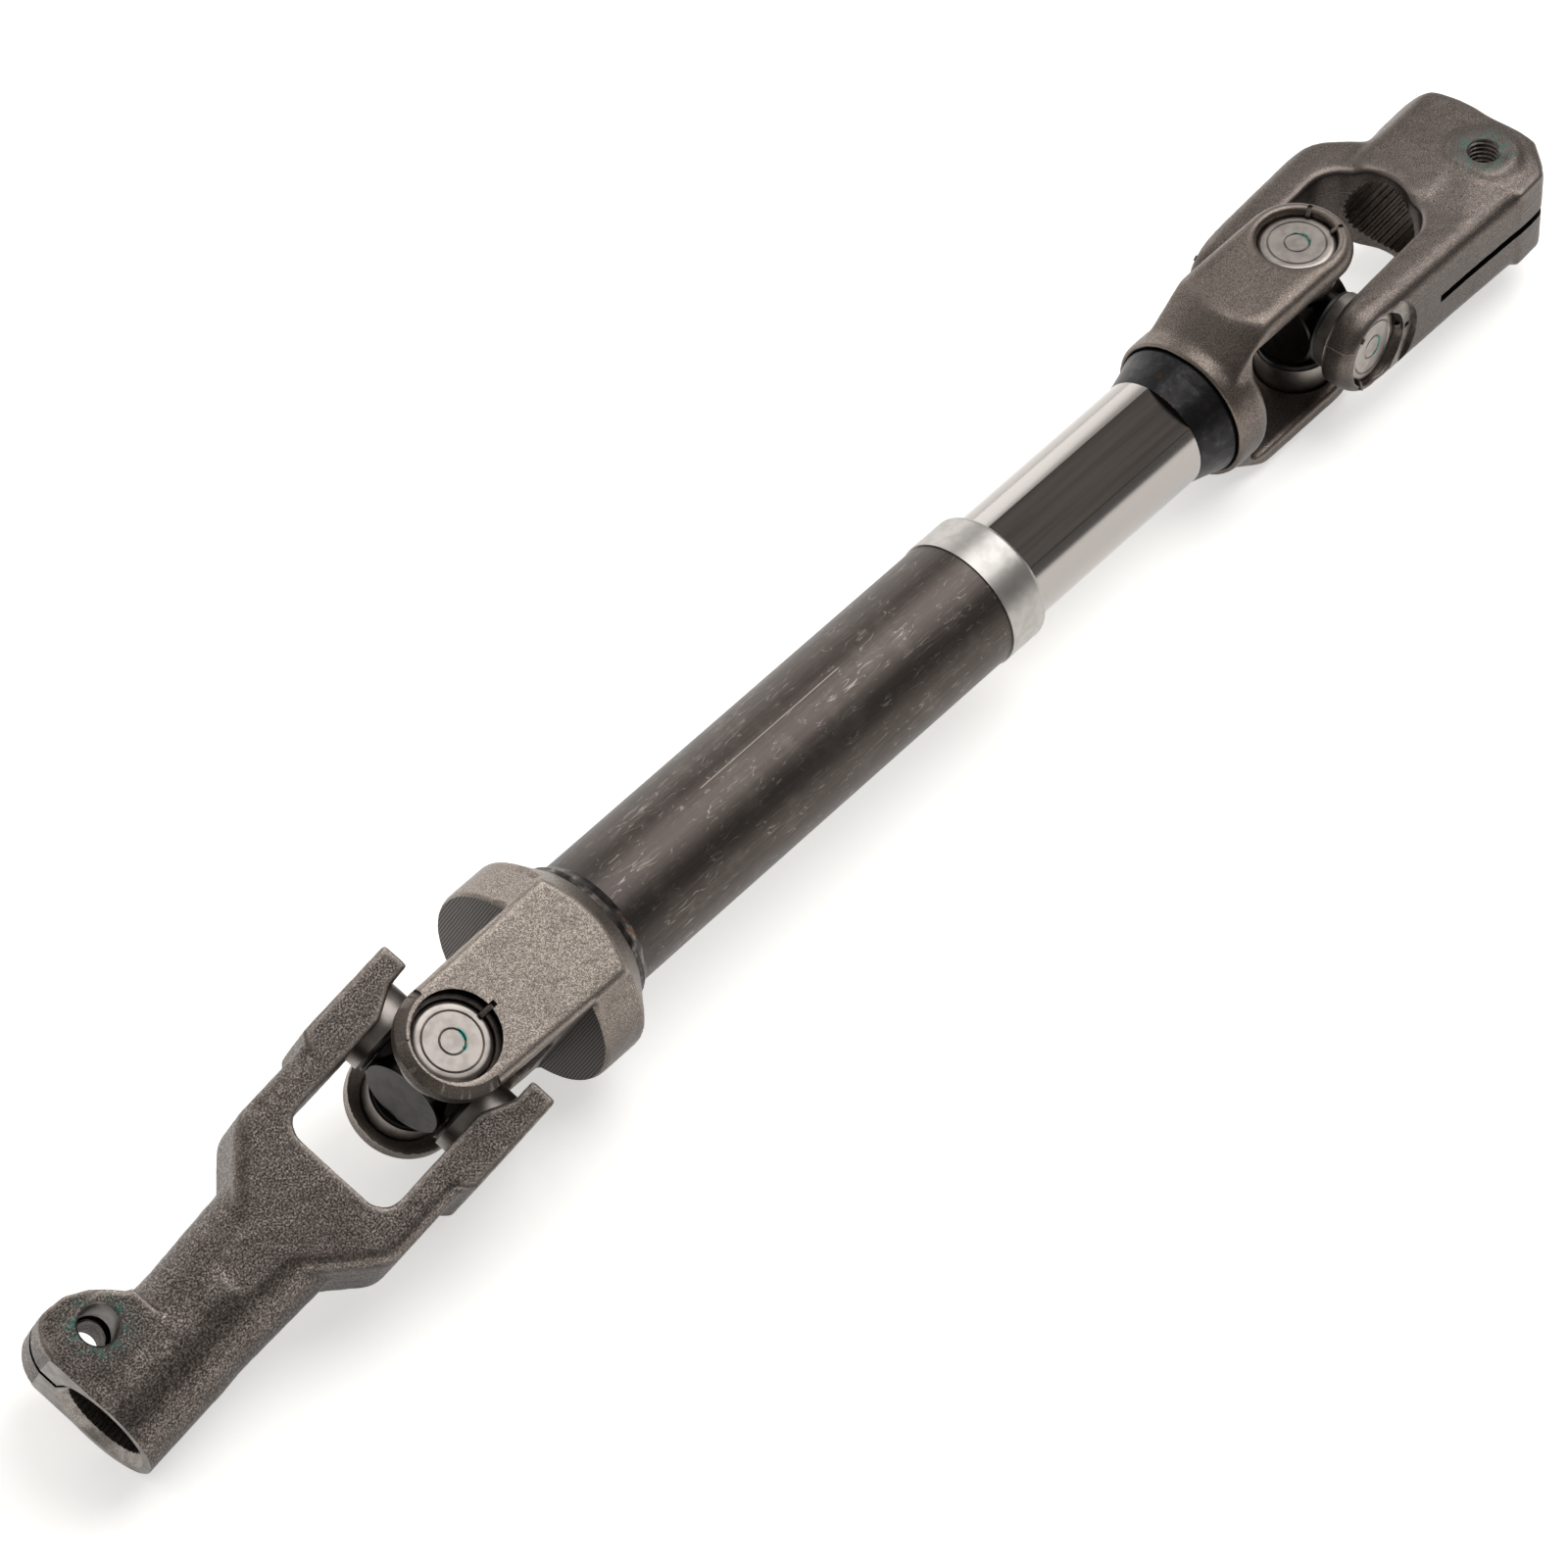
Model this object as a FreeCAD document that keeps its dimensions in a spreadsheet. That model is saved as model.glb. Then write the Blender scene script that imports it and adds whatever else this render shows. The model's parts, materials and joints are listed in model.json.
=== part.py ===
import FreeCAD, Part
import math
import os
import re
import Sketcher

# Intermediate steering shaft: two universal joints on a telescoping shaft, lying on a bench at rest.
# The shaft's own frame has X along the tube toward the upper joint, Z up, and its origin in the lower joint.
# Each yoke is modelled about its own joint centre, with its base or hub toward +X.

SIZES = {
    # Universal joints: four bearing cups on each cross
    "cup_diameter": 17.5,
    "cup_face": 20.0,
    "cup_rim": 10.7,
    "cup_wall": 1.5,
    "cup_floor": 1.6,
    "cup_chamfer": 0.6,
    "ring_radius": 6.36,
    "centre_ring_radius": 2.69,
    "ring_width": 0.5,
    "ring_depth": 0.3,
    "needle_diameter": 2.8,
    "needle_length": 6.2,
    "needle_count": 12,
    "bearing_play": 0.02,
    "thrust_play": 0.1,
    "cross_half_depth": 7.6,
    "cross_bevel": 0.4,
    "cross_shoulder": 9.3,
    "cross_boss_radius": 7.2,
    "seal_inset": 0.4,
    "seal_gap": 0.3,
    "seal_groove": 0.3,
    "trunnion_chamfer": 0.5,
    # Arms of the tube yoke and the shaft yoke
    "arm_face": 22.0,
    "arm_inside": 16.5,
    "arm_half_width": 12.3,
    "arm_edge_radius": 1.8,
    "arm_end_flat": 0.1,
    "throat_radius": 5.0,
    # Tube yoke
    "tube_yoke_tip": 11.1,
    "tube_yoke_base_width": 13.2,
    "tube_yoke_throat": 20.5,
    "lobe_radius": 23.3,
    "lobe_front_radius": 15.0,
    "lobe_front_edge": 27.0,
    "lobe_corner": 1.6,
    "collar_step": 0.3,
    "collar_slope": 0.92,
    "spigot_length": 6.0,
    # Outer tube, its end ring and the slide inside it
    "tube_start": 46.0,
    "tube_end": 161.1,
    "tube_diameter": 30.0,
    "tube_wall": 1.3,
    "tube_weld_width": 2.4,
    "tube_weld_height": 0.8,
    "ring_end": 172.0,
    "ring_step": 0.35,
    "ring_edge": 1.4,
    "ring_spigot": 4.0,
    "liner_length": 56.0,
    "slide_play": 0.05,
    "shaft_diameter": 26.3,
    "shaft_bore": 17.0,
    "shaft_inner_end": 98.0,
    "flat_depth": 1.53,
    "flat_roll": 22.3,
    # Shaft yoke and its weld
    "joint_spacing": 273.3,
    "shaft_yoke_tip": 12.1,
    "shaft_yoke_throat": 29.0,
    "shaft_yoke_rim": 40.0,
    "socket_radius": 17.2,
    "socket_depth": 6.0,
    "socket_wall": 1.6,
    "socket_flare": 1.9,
    "flare_end": 25.0,
    "shaft_weld_start": 48.5,
    "shaft_yoke_edge_radius": 3.0,
    # Lower yoke: long neck, clamp hub with one ear
    "lower_tip": 10.0,
    "lower_pad_face": 22.8,
    "lower_pad_end": 14.5,
    "lower_step": 1.8,
    "lower_arm_inside": 13.4,
    "lower_tip_inside": 16.7,
    "lower_relief_start": 2.0,
    "lower_relief_end": 5.0,
    "lower_window_end": 31.0,
    "lower_window_radius": 5.0,
    "lower_half_height": 12.6,
    "lower_shoulder": 36.5,
    "lower_shoulder_radius": 6.0,
    "lower_web_end": 52.0,
    "lower_web_half_width": 7.5,
    "lower_edge_radius": 3.4,
    "lower_neck_root": 13.9,
    "lower_neck_root_at": 43.0,
    "lower_neck_waist": 12.9,
    "lower_neck_waist_at": 70.0,
    "lower_hub_radius": 13.2,
    "lower_hub_end": 96.5,
    "lower_ear_start": 75.0,
    "lower_ear_reach": 23.0,
    "lower_ear_radius": 9.0,
    "lower_bolt_at": 85.0,
    "lower_bolt_offset": 13.0,
    "lower_slit_start": 60.0,
    "lower_bore_depth": 34.0,
    # Upper yoke: short, its serrated bore opens into the window
    "upper_tip": 11.0,
    "upper_arm_face": 23.5,
    "upper_ear_face": 26.4,
    "upper_arm_inside": 13.7,
    "upper_window_end": 33.0,
    "upper_window_radius": 8.0,
    "upper_half_height": 11.0,
    "upper_shoulder": 38.0,
    "upper_edge_radius": 4.2,
    "upper_hub_radius": 15.0,
    "upper_hub_end": 65.2,
    "upper_hub_edge": 3.0,
    "upper_ear_corner": 54.5,
    "upper_ear_draft": 2.0,
    "upper_ear_draft_end": 30.0,
    "upper_pad_inset": 1.0,
    "upper_end_flat": 0.1,
    "upper_shoulder_run": 7.0,
    "upper_bolt_at": 53.3,
    "upper_bolt_offset": 12.5,
    "upper_boss_radius": 9.0,
    "upper_boss_height": 12.0,
    "upper_slit_start": 20.8,
    # Serrated clamp bores and pinch bolt holes, the same in both yokes
    "serration_count": 36,
    "serration_crest": 9.1,
    "serration_depth": 0.42,
    "serration_mouth": 1.0,
    "serration_bottom": 0.45,
    "bore_chamfer": 0.7,
    "slit_width": 1.5,
    "bolt_clearance_diameter": 8.2,
    "bolt_tap_diameter": 6.8,
    # Pose: degrees the shaft and the joints are turned as the assembly lies
    "tube_roll": 28.1,
    "lower_swing": 5.4,
    "upper_swing": 3.9,
    "upper_tilt": 1.0,
}

# Two places closer than this, in mm, are the same place.
NEAR = 1e-3

doc = FreeCAD.newDocument("steering_shaft")
sheet = doc.addObject("Spreadsheet::Sheet", "Sizes")
for row, (alias, value) in enumerate(SIZES.items(), start=1):
    cell = "B%d" % row
    sheet.set("A%d" % row, alias)
    sheet.set(cell, str(value))
    sheet.setAlias(cell, alias)
doc.recompute()

SUB_PARTS = []


def expression(text):
    """The same text with each size's name pointed at its cell in the sheet."""
    return re.sub(r"[a-z_]{2,}", lambda name: "Sizes." + name[0] if name[0] in SIZES else name[0], text)


def size(text):
    """The value of a size or of a sum of sizes, in mm or degrees."""
    return float(sheet.evalExpression(expression(text)))


def new_body(label):
    body = doc.addObject("PartDesign::Body", label)
    body.Label = label
    SUB_PARTS.append(body)
    return body


def new_sketch(body, name, plane, offset="0"):
    """An empty sketch on one of the body's own planes, moved along that plane's normal."""
    sketch = body.newObject("Sketcher::SketchObject", name)
    origin_plane = [item for item in body.Origin.OriginFeatures if item.Role == plane + "_Plane"][0]
    sketch.AttachmentSupport = [(origin_plane, "")]
    sketch.MapMode = "FlatFace"
    sketch.setExpression("AttachmentOffset.Base.z", expression(offset))
    return sketch


def pin_point(sketch, index, end, across, up):
    """Hold one end of a sketch element at two sizes from the sketch's origin."""
    for kind, text in (("DistanceX", across), ("DistanceY", up)):
        place = sketch.addConstraint(Sketcher.Constraint(kind, -1, 1, index, end, size(text)))
        sketch.setExpression("Constraints[%d]" % place, expression(text))


def polygon(body, name, plane, points, offset="0"):
    """A closed outline through points whose coordinates are sizes."""
    sketch = new_sketch(body, name, plane, offset)
    corners = [FreeCAD.Vector(size(across), size(up), 0) for across, up in points]
    for index, corner in enumerate(corners):
        following = corners[(index + 1) % len(corners)]
        sketch.addGeometry(Part.LineSegment(corner, following), False)
    for index in range(len(corners)):
        following = (index + 1) % len(corners)
        sketch.addConstraint(Sketcher.Constraint("Coincident", index, 2, following, 1))
    for index, (across, up) in enumerate(points):
        pin_point(sketch, index, 1, across, up)
    return sketch


def mirrored(points):
    """The points, then their mirror images across the sketch's first axis in reverse order."""
    return points + [(across, "-(%s)" % up) for across, up in reversed(points)]


def circle(body, name, plane, across, up, radius, offset="0"):
    sketch = new_sketch(body, name, plane, offset)
    centre = FreeCAD.Vector(size(across), size(up), 0)
    sketch.addGeometry(Part.Circle(centre, FreeCAD.Vector(0, 0, 1), size(radius)), False)
    pin_point(sketch, 0, 3, across, up)
    place = sketch.addConstraint(Sketcher.Constraint("Radius", 0, size(radius)))
    sketch.setExpression("Constraints[%d]" % place, expression(radius))
    return sketch


def finish_feature(body, feature, removes):
    """Recompute, and make sure that the feature really added or took away material."""
    before = feature.BaseFeature.Shape.Volume if feature.BaseFeature else 0
    body.Tip = feature
    doc.recompute()
    change = feature.Shape.Volume - before
    if (change > 0) == removes:
        raise ValueError("%s changes the volume by %.3f mm3" % (feature.Name, change))
    return feature


def pad(body, name, sketch, length, symmetric=True):
    feature = body.newObject("PartDesign::Pad", name)
    feature.Profile = sketch
    feature.SideType = "Symmetric" if symmetric else "One side"
    feature.setExpression("Length", expression(length))
    return finish_feature(body, feature, False)


def pocket(body, name, sketch, length=None, reverse=False, symmetric=False):
    """A cut to a length on the sketch's far side or about it, or through all on both sides."""
    feature = body.newObject("PartDesign::Pocket", name)
    feature.Profile = sketch
    feature.SideType = "Symmetric" if symmetric or length is None else "One side"
    if length is None:
        feature.Type = "ThroughAll"
    else:
        feature.setExpression("Length", expression(length))
        feature.Reversed = reverse
    return finish_feature(body, feature, True)


def turned(body, name, kind, sketch, axis="H_Axis"):
    """A full turn of a sketch about one of its own axes: kind is Revolution or Groove."""
    feature = body.newObject("PartDesign::" + kind, name)
    feature.Profile = sketch
    feature.ReferenceAxis = (sketch, [axis])
    feature.Angle = 360
    return finish_feature(body, feature, kind == "Groove")


def edges_where(shape, chosen):
    """Names of the edges that a test picks."""
    return ["Edge%d" % (index + 1) for index, edge in enumerate(shape.Edges) if chosen(edge)]


def at_corner(axis, spots):
    """A test for straight edges along an axis, at any of the spots in the other two coordinates."""
    others = [index for index in range(3) if index != "xyz".index(axis)]
    places = [(size(first), size(second)) for first, second in spots]

    def chosen(edge):
        start, end = edge.firstVertex().Point, edge.lastVertex().Point
        for place in places:
            if all(abs(point[others[i]] - place[i]) < NEAR for point in (start, end) for i in (0, 1)):
                return True
        return False

    return chosen


def on_level(axis, level, furthest):
    """A test for edges that lie at a level on either side and start short of a place along X."""
    index = "xyz".index(axis)
    height, limit = size(level), size(furthest)

    def chosen(edge):
        points = [edge.valueAt(place) for place in edge.ParameterRange]
        points.append(edge.CenterOfMass)
        flat = all(abs(abs(point[index]) - height) < NEAR for point in points)
        return flat and edge.BoundBox.XMin < limit

    return chosen


def beside(level, start, inside, last):
    """A test for outer edges at a height on either side, from one place along X to past another."""
    height, first, half_width, end = size(level), size(start), size(inside), size(last)

    def chosen(edge):
        box = edge.BoundBox
        flat = abs(abs(box.ZMin) - height) < NEAR and box.ZLength < NEAR
        wide = max(abs(box.YMin), abs(box.YMax)) > half_width + NEAR or box.XMin > end
        return flat and wide and box.XMin > first - NEAR and box.XLength > NEAR

    return chosen


def rim_at(end, radius):
    """A test for the round edges about X at a place along it."""
    place, reach = size(end), size(radius)
    return lambda edge: abs(edge.BoundBox.XMin - place) < NEAR and abs(edge.BoundBox.ZMax - reach) < NEAR


def round_off(body, name, radius, chosen):
    """Fillet the edges that a test picks on the body's last feature."""
    base = body.Tip
    feature = body.newObject("PartDesign::Fillet", name)
    names = edges_where(base.Shape, chosen)
    feature.Base = (base, names)
    feature.setExpression("Radius", expression(radius))
    body.Tip = feature
    doc.recompute()
    if not names or not feature.isValid():
        raise ValueError("%s could not round %s" % (name, names))
    return feature


def turn_pattern(body, name, feature, axis, count):
    """Repeat a feature around one of the body's own axes."""
    pattern = body.newObject("PartDesign::PolarPattern", name)
    pattern.Originals = [feature]
    pattern.Axis = ([item for item in body.Origin.OriginFeatures if item.Role == axis + "_Axis"][0], [""])
    pattern.Angle = 360
    pattern.setExpression("Occurrences", expression(count))
    body.Tip = pattern
    doc.recompute()
    return pattern


TRUNNION_RADIUS = "(cup_diameter / 2 - cup_wall - needle_diameter - 2 * bearing_play)"
NEEDLE_PITCH = "(cup_diameter / 2 - cup_wall - needle_diameter / 2 - bearing_play)"
TRUNNION_END = "(cup_face - cup_floor - thrust_play)"
SEAL_RADIUS = "(cup_diameter / 2 - seal_inset)"
COLLAR_RADIUS = "(tube_diameter / 2 + collar_step)"
RING_RADIUS = "(tube_diameter / 2 + ring_step)"
SERRATION_ROOT = "(serration_crest + serration_depth)"


def build_cup(label):
    """A drawn bearing cup about Z, closed at its outer face, with two rings pressed into the face."""
    body = new_body(label)
    radius = "cup_diameter / 2"
    profile = [("0", "cup_face")]
    for ring in ("centre_ring_radius", "ring_radius"):
        profile += [
            (ring + " - ring_width / 2", "cup_face"),
            (ring, "cup_face - ring_depth"),
            (ring + " + ring_width / 2", "cup_face"),
        ]
    profile += [
        (radius + " - cup_chamfer", "cup_face"),
        (radius, "cup_face - cup_chamfer"),
        (radius, "cup_rim"),
        (radius + " - cup_wall", "cup_rim"),
        (radius + " - cup_wall", "cup_face - cup_floor"),
        ("0", "cup_face - cup_floor"),
    ]
    turned(body, label + "_turned", "Revolution", polygon(body, label + "_profile", "XZ", profile), "V_Axis")
    return body


def build_needles(label):
    """Loose needle rollers round one trunnion, filling the ring between it and its cup."""
    body = new_body(label)
    body.AllowCompound = True
    start = TRUNNION_END + " - needle_length"
    outline = circle(body, label + "_section", "XY", NEEDLE_PITCH, "0", "needle_diameter / 2", start)
    needle = pad(body, label + "_needle", outline, "needle_length - trunnion_chamfer", symmetric=False)
    turn_pattern(body, label + "_ring", needle, "Z", "needle_count")
    return body


def build_seal(label):
    """A lip seal between a cup's rim and the cross, with a groove between its two lips."""
    body = new_body(label)
    inner = TRUNNION_RADIUS + " + seal_gap"
    start = "cross_shoulder + seal_gap"
    middle = "(cross_shoulder + seal_gap + cup_rim) / 2"
    profile = [
        (inner, start),
        (SEAL_RADIUS, start),
        (SEAL_RADIUS + " - seal_groove", middle),
        (SEAL_RADIUS, "cup_rim"),
        (inner, "cup_rim"),
    ]
    turned(body, label + "_turned", "Revolution", polygon(body, label + "_profile", "XZ", profile), "V_Axis")
    return body


def build_cross(label):
    """A forged cross: a flat-faced disc about X with four ground trunnions along Y and Z."""
    body = new_body(label)
    disc = [
        ("-cross_half_depth", "0"),
        ("-cross_half_depth", "cross_shoulder - cross_bevel"),
        ("-cross_half_depth + cross_bevel", "cross_shoulder"),
        ("cross_half_depth - cross_bevel", "cross_shoulder"),
        ("cross_half_depth", "cross_shoulder - cross_bevel"),
        ("cross_half_depth", "0"),
    ]
    turned(body, label + "_disc", "Revolution", polygon(body, label + "_disc_profile", "XY", disc), "H_Axis")
    half = [
        (TRUNNION_RADIUS + " - trunnion_chamfer", TRUNNION_END),
        (TRUNNION_RADIUS, TRUNNION_END + " - trunnion_chamfer"),
        (TRUNNION_RADIUS, "cross_shoulder"),
        ("cross_boss_radius", "cross_shoulder"),
    ]
    trunnions = [("0", TRUNNION_END)] + mirrored(half) + [("0", "-" + TRUNNION_END)]
    for plane in ("XY", "XZ"):
        profile = polygon(body, label + "_trunnions_" + plane, plane, trunnions)
        turned(body, label + "_pair_" + plane, "Revolution", profile, "V_Axis")
    return body


def bore_cup_seats(body, plane):
    """Bore both arms for their cups: plane XY bores along Z, plane XZ along Y."""
    seat = circle(body, body.Label + "_cup_seat", plane, "0", "0", "cup_diameter / 2")
    pocket(body, body.Label + "_cup_bores", seat)


def build_tube_yoke():
    """The yoke welded to the outer tube: two flat arms on a turned base with a lobe on each side."""
    body = new_body("tube_yoke")
    cone_foot = "(tube_start + collar_slope * %s)" % COLLAR_RADIUS
    plan = mirrored([("-tube_yoke_tip", "arm_half_width"), ("tube_start", "tube_yoke_base_width")])
    pad(body, "tube_yoke_arms", polygon(body, "tube_yoke_plan", "XY", plan), "2 * arm_face")
    ends = at_corner("z", [("-tube_yoke_tip", "arm_half_width"), ("-tube_yoke_tip", "-arm_half_width")])
    round_off(body, "tube_yoke_ends", "arm_half_width - arm_end_flat", ends)
    base = [
        ("tube_yoke_throat", "0"),
        ("tube_yoke_throat", "lobe_front_radius"),
        ("lobe_front_edge", "lobe_radius - lobe_corner / 2"),
        ("lobe_front_edge + lobe_corner", "lobe_radius"),
        (cone_foot + " - collar_slope * lobe_radius", "lobe_radius"),
        ("tube_start", COLLAR_RADIUS),
        ("tube_start", "tube_diameter / 2 - tube_wall"),
        ("tube_start + spigot_length", "tube_diameter / 2 - tube_wall"),
        ("tube_start + spigot_length", "0"),
    ]
    turned(body, "tube_yoke_base", "Revolution", polygon(body, "tube_yoke_base_profile", "XY", base))
    wide = "2 * lobe_radius"
    beyond = [
        (cone_foot + " - collar_slope * " + wide, wide),
        ("tube_start", COLLAR_RADIUS),
        ("tube_start", wide),
    ]
    turned(body, "tube_yoke_collar", "Groove", polygon(body, "tube_yoke_collar_profile", "XY", beyond))
    flat = mirrored([("0", "arm_face"), ("0", wide), ("tube_start", wide), ("tube_start", "arm_face")])
    for name, side in (("upper", flat[:4]), ("lower", flat[4:])):
        pocket(body, "tube_yoke_flat_" + name, polygon(body, "tube_yoke_" + name + "_outline", "XZ", side))
    round_off(body, "tube_yoke_rims", "arm_edge_radius", on_level("z", "arm_face", "tube_start"))
    window = mirrored([("-2 * tube_yoke_tip", "arm_inside"), ("tube_yoke_throat", "arm_inside")])
    pocket(body, "tube_yoke_window", polygon(body, "tube_yoke_window_outline", "XZ", window))
    throat = at_corner("y", [("tube_yoke_throat", "arm_inside"), ("tube_yoke_throat", "-arm_inside")])
    round_off(body, "tube_yoke_throat_round", "throat_radius", throat)
    bore_cup_seats(body, "XY")
    return body


def build_shaft_yoke():
    """The yoke welded to the sliding shaft: a turned socket that flares into two arms."""
    body = new_body("shaft_yoke")
    flare_foot = "(shaft_yoke_rim - socket_flare * 2)"
    side = mirrored([("-shaft_yoke_tip", "arm_face"), ("shaft_yoke_rim", "arm_face")])
    pad(body, "shaft_yoke_arms", polygon(body, "shaft_yoke_side", "XZ", side), "2 * arm_half_width")
    ends = at_corner("z", [("-shaft_yoke_tip", "arm_half_width"), ("-shaft_yoke_tip", "-arm_half_width")])
    round_off(body, "shaft_yoke_ends", "arm_half_width - arm_end_flat", ends)
    wide = "2 * arm_face"
    beyond = [
        ("flare_end", "arm_face + socket_flare"),
        (flare_foot, "socket_radius"),
        ("shaft_yoke_rim", "socket_radius"),
        ("shaft_yoke_rim", wide),
        ("flare_end", wide),
    ]
    turned(body, "shaft_yoke_flare", "Groove", polygon(body, "shaft_yoke_flare_profile", "XY", beyond))
    round_off(body, "shaft_yoke_rims", "shaft_yoke_edge_radius", on_level("z", "arm_face", "flare_end / 2"))
    base = [
        ("shaft_yoke_throat", "0"),
        ("shaft_yoke_throat", "socket_radius - socket_flare"),
        ("shaft_yoke_throat + socket_flare", "socket_radius"),
        ("shaft_yoke_rim", "socket_radius"),
        ("shaft_yoke_rim", "0"),
    ]
    turned(body, "shaft_yoke_base", "Revolution", polygon(body, "shaft_yoke_base_profile", "XY", base))
    window = mirrored([("-2 * shaft_yoke_tip", "arm_inside"), ("shaft_yoke_throat", "arm_inside")])
    pocket(body, "shaft_yoke_window", polygon(body, "shaft_yoke_window_outline", "XZ", window))
    socket = [
        ("shaft_yoke_rim - socket_depth", "0"),
        ("shaft_yoke_rim - socket_depth", "shaft_diameter / 2"),
        ("shaft_yoke_rim - socket_depth / 2", "shaft_diameter / 2"),
        ("shaft_yoke_rim - socket_depth / 2", "socket_radius - socket_wall"),
        ("shaft_yoke_rim", "socket_radius - socket_wall"),
        ("shaft_yoke_rim", "0"),
    ]
    turned(body, "shaft_yoke_socket", "Groove", polygon(body, "shaft_yoke_socket_profile", "XY", socket))
    bore_cup_seats(body, "XY")
    return body


def cut_serrations(body, bore_start, bore_end):
    """A bore along X toward the hub's end, with tooth spaces cut round it and a chamfered mouth."""
    label = body.Label
    mouth = SERRATION_ROOT + " + bore_chamfer"
    bore = [
        (bore_start, "0"),
        (bore_start, "serration_crest"),
        (bore_end + " - bore_chamfer", "serration_crest"),
        (bore_end + " - bore_chamfer", SERRATION_ROOT),
        (bore_end, mouth),
        (bore_end, "0"),
    ]
    turned(body, label + "_bore", "Groove", polygon(body, label + "_bore_profile", "XY", bore))
    space = [
        ("-serration_mouth / 2", "serration_crest - serration_bottom"),
        ("-serration_mouth / 2", "serration_crest"),
        ("-serration_bottom / 2", SERRATION_ROOT),
        ("serration_bottom / 2", SERRATION_ROOT),
        ("serration_mouth / 2", "serration_crest"),
        ("serration_mouth / 2", "serration_crest - serration_bottom"),
    ]
    outline = polygon(body, label + "_tooth_space", "YZ", space, bore_end)
    cut = pocket(body, label + "_tooth_cut", outline, "%s - (%s)" % (bore_end, bore_start))
    turn_pattern(body, label + "_serrations", cut, "X", "serration_count")


def cut_pinch(body, slit_start, hub_end, bolt_at, bolt_offset):
    """The saw slit through the ear, and the pinch bolt's hole."""
    label = body.Label
    outline = polygon(body, label + "_slit_outline", "XY", [
        (slit_start, "0"),
        (slit_start, "-2 * lobe_radius"),
        (hub_end + " + slit_width", "-2 * lobe_radius"),
        (hub_end + " + slit_width", "0"),
    ])
    pocket(body, label + "_slit", outline, "slit_width", symmetric=True)
    bolt = ("XY", bolt_at, "-" + bolt_offset)
    tap = circle(body, label + "_tap_outline", *bolt, "bolt_tap_diameter / 2")
    pocket(body, label + "_tap_hole", tap)
    clear = circle(body, label + "_bolt_outline", *bolt, "bolt_clearance_diameter / 2")
    pocket(body, label + "_bolt_hole", clear, "2 * arm_face", reverse=label == "lower_yoke")


def build_lower_yoke():
    """A fork with square arm tips, machined pads and a long neck to a clamp hub with one ear."""
    body = new_body("lower_yoke")
    arm_face = "(lower_pad_face - lower_step)"
    fork = mirrored([
        ("-lower_tip", "lower_tip_inside"),
        ("-lower_tip", arm_face),
        ("lower_shoulder", arm_face),
        ("lower_web_end", "lower_web_half_width"),
    ]) + mirrored([
        ("-lower_relief_end", "-lower_tip_inside"),
        ("lower_relief_start", "-lower_arm_inside"),
        ("lower_window_end", "-lower_arm_inside"),
    ])
    outline = polygon(body, "lower_yoke_plan", "XY", fork)
    pad(body, "lower_yoke_fork", outline, "2 * lower_half_height")
    inner = [("lower_window_end", sign + "lower_arm_inside") for sign in ("", "-")]
    round_off(body, "lower_yoke_window_round", "lower_window_radius", at_corner("z", inner))
    spots = [("lower_shoulder", sign + arm_face) for sign in ("", "-")]
    round_off(body, "lower_yoke_shoulders", "lower_shoulder_radius", at_corner("z", spots))
    outer = beside("lower_half_height", "-lower_tip", "lower_tip_inside", "lower_shoulder")
    round_off(body, "lower_yoke_fork_edges", "lower_edge_radius", outer)
    machined = mirrored([
        ("-lower_tip", "lower_tip_inside"),
        ("-lower_tip", "lower_pad_face"),
        ("lower_pad_end", "lower_pad_face"),
        ("lower_pad_end + lower_step", arm_face),
        ("lower_pad_end + lower_step", "lower_tip_inside"),
    ])
    for name, side in (("left", machined[:5]), ("right", machined[5:])):
        pads = polygon(body, "lower_yoke_pad_%s_plan" % name, "XY", side)
        pad(body, "lower_yoke_pad_" + name, pads, "2 * lower_half_height")
    neck = [
        ("lower_window_end + lower_edge_radius", "0"),
        ("lower_window_end + lower_edge_radius", "lower_half_height - lower_edge_radius"),
        ("lower_neck_root_at", "lower_neck_root"),
        ("lower_neck_waist_at", "lower_neck_waist"),
        ("lower_ear_start", "lower_hub_radius"),
        ("lower_hub_end", "lower_hub_radius"),
        ("lower_hub_end", "0"),
    ]
    turned(body, "lower_yoke_neck", "Revolution", polygon(body, "lower_yoke_neck_profile", "XY", neck))
    ear = polygon(body, "lower_yoke_ear_plan", "XY", [
        ("lower_ear_start", "0"),
        ("lower_ear_start", "-lower_ear_reach"),
        ("lower_hub_end", "-lower_ear_reach"),
        ("lower_hub_end", "0"),
    ])
    pad(body, "lower_yoke_ear", ear, "2 * lower_half_height")
    corners = [("lower_ear_start", "-lower_ear_reach"), ("lower_hub_end", "-lower_ear_reach")]
    round_off(body, "lower_yoke_ear_round", "lower_ear_radius", at_corner("z", corners))
    cut_serrations(body, "lower_hub_end - lower_bore_depth", "lower_hub_end")
    cut_pinch(body, "lower_slit_start", "lower_hub_end", "lower_bolt_at", "lower_bolt_offset")
    bore_cup_seats(body, "XZ")
    return body


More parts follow.
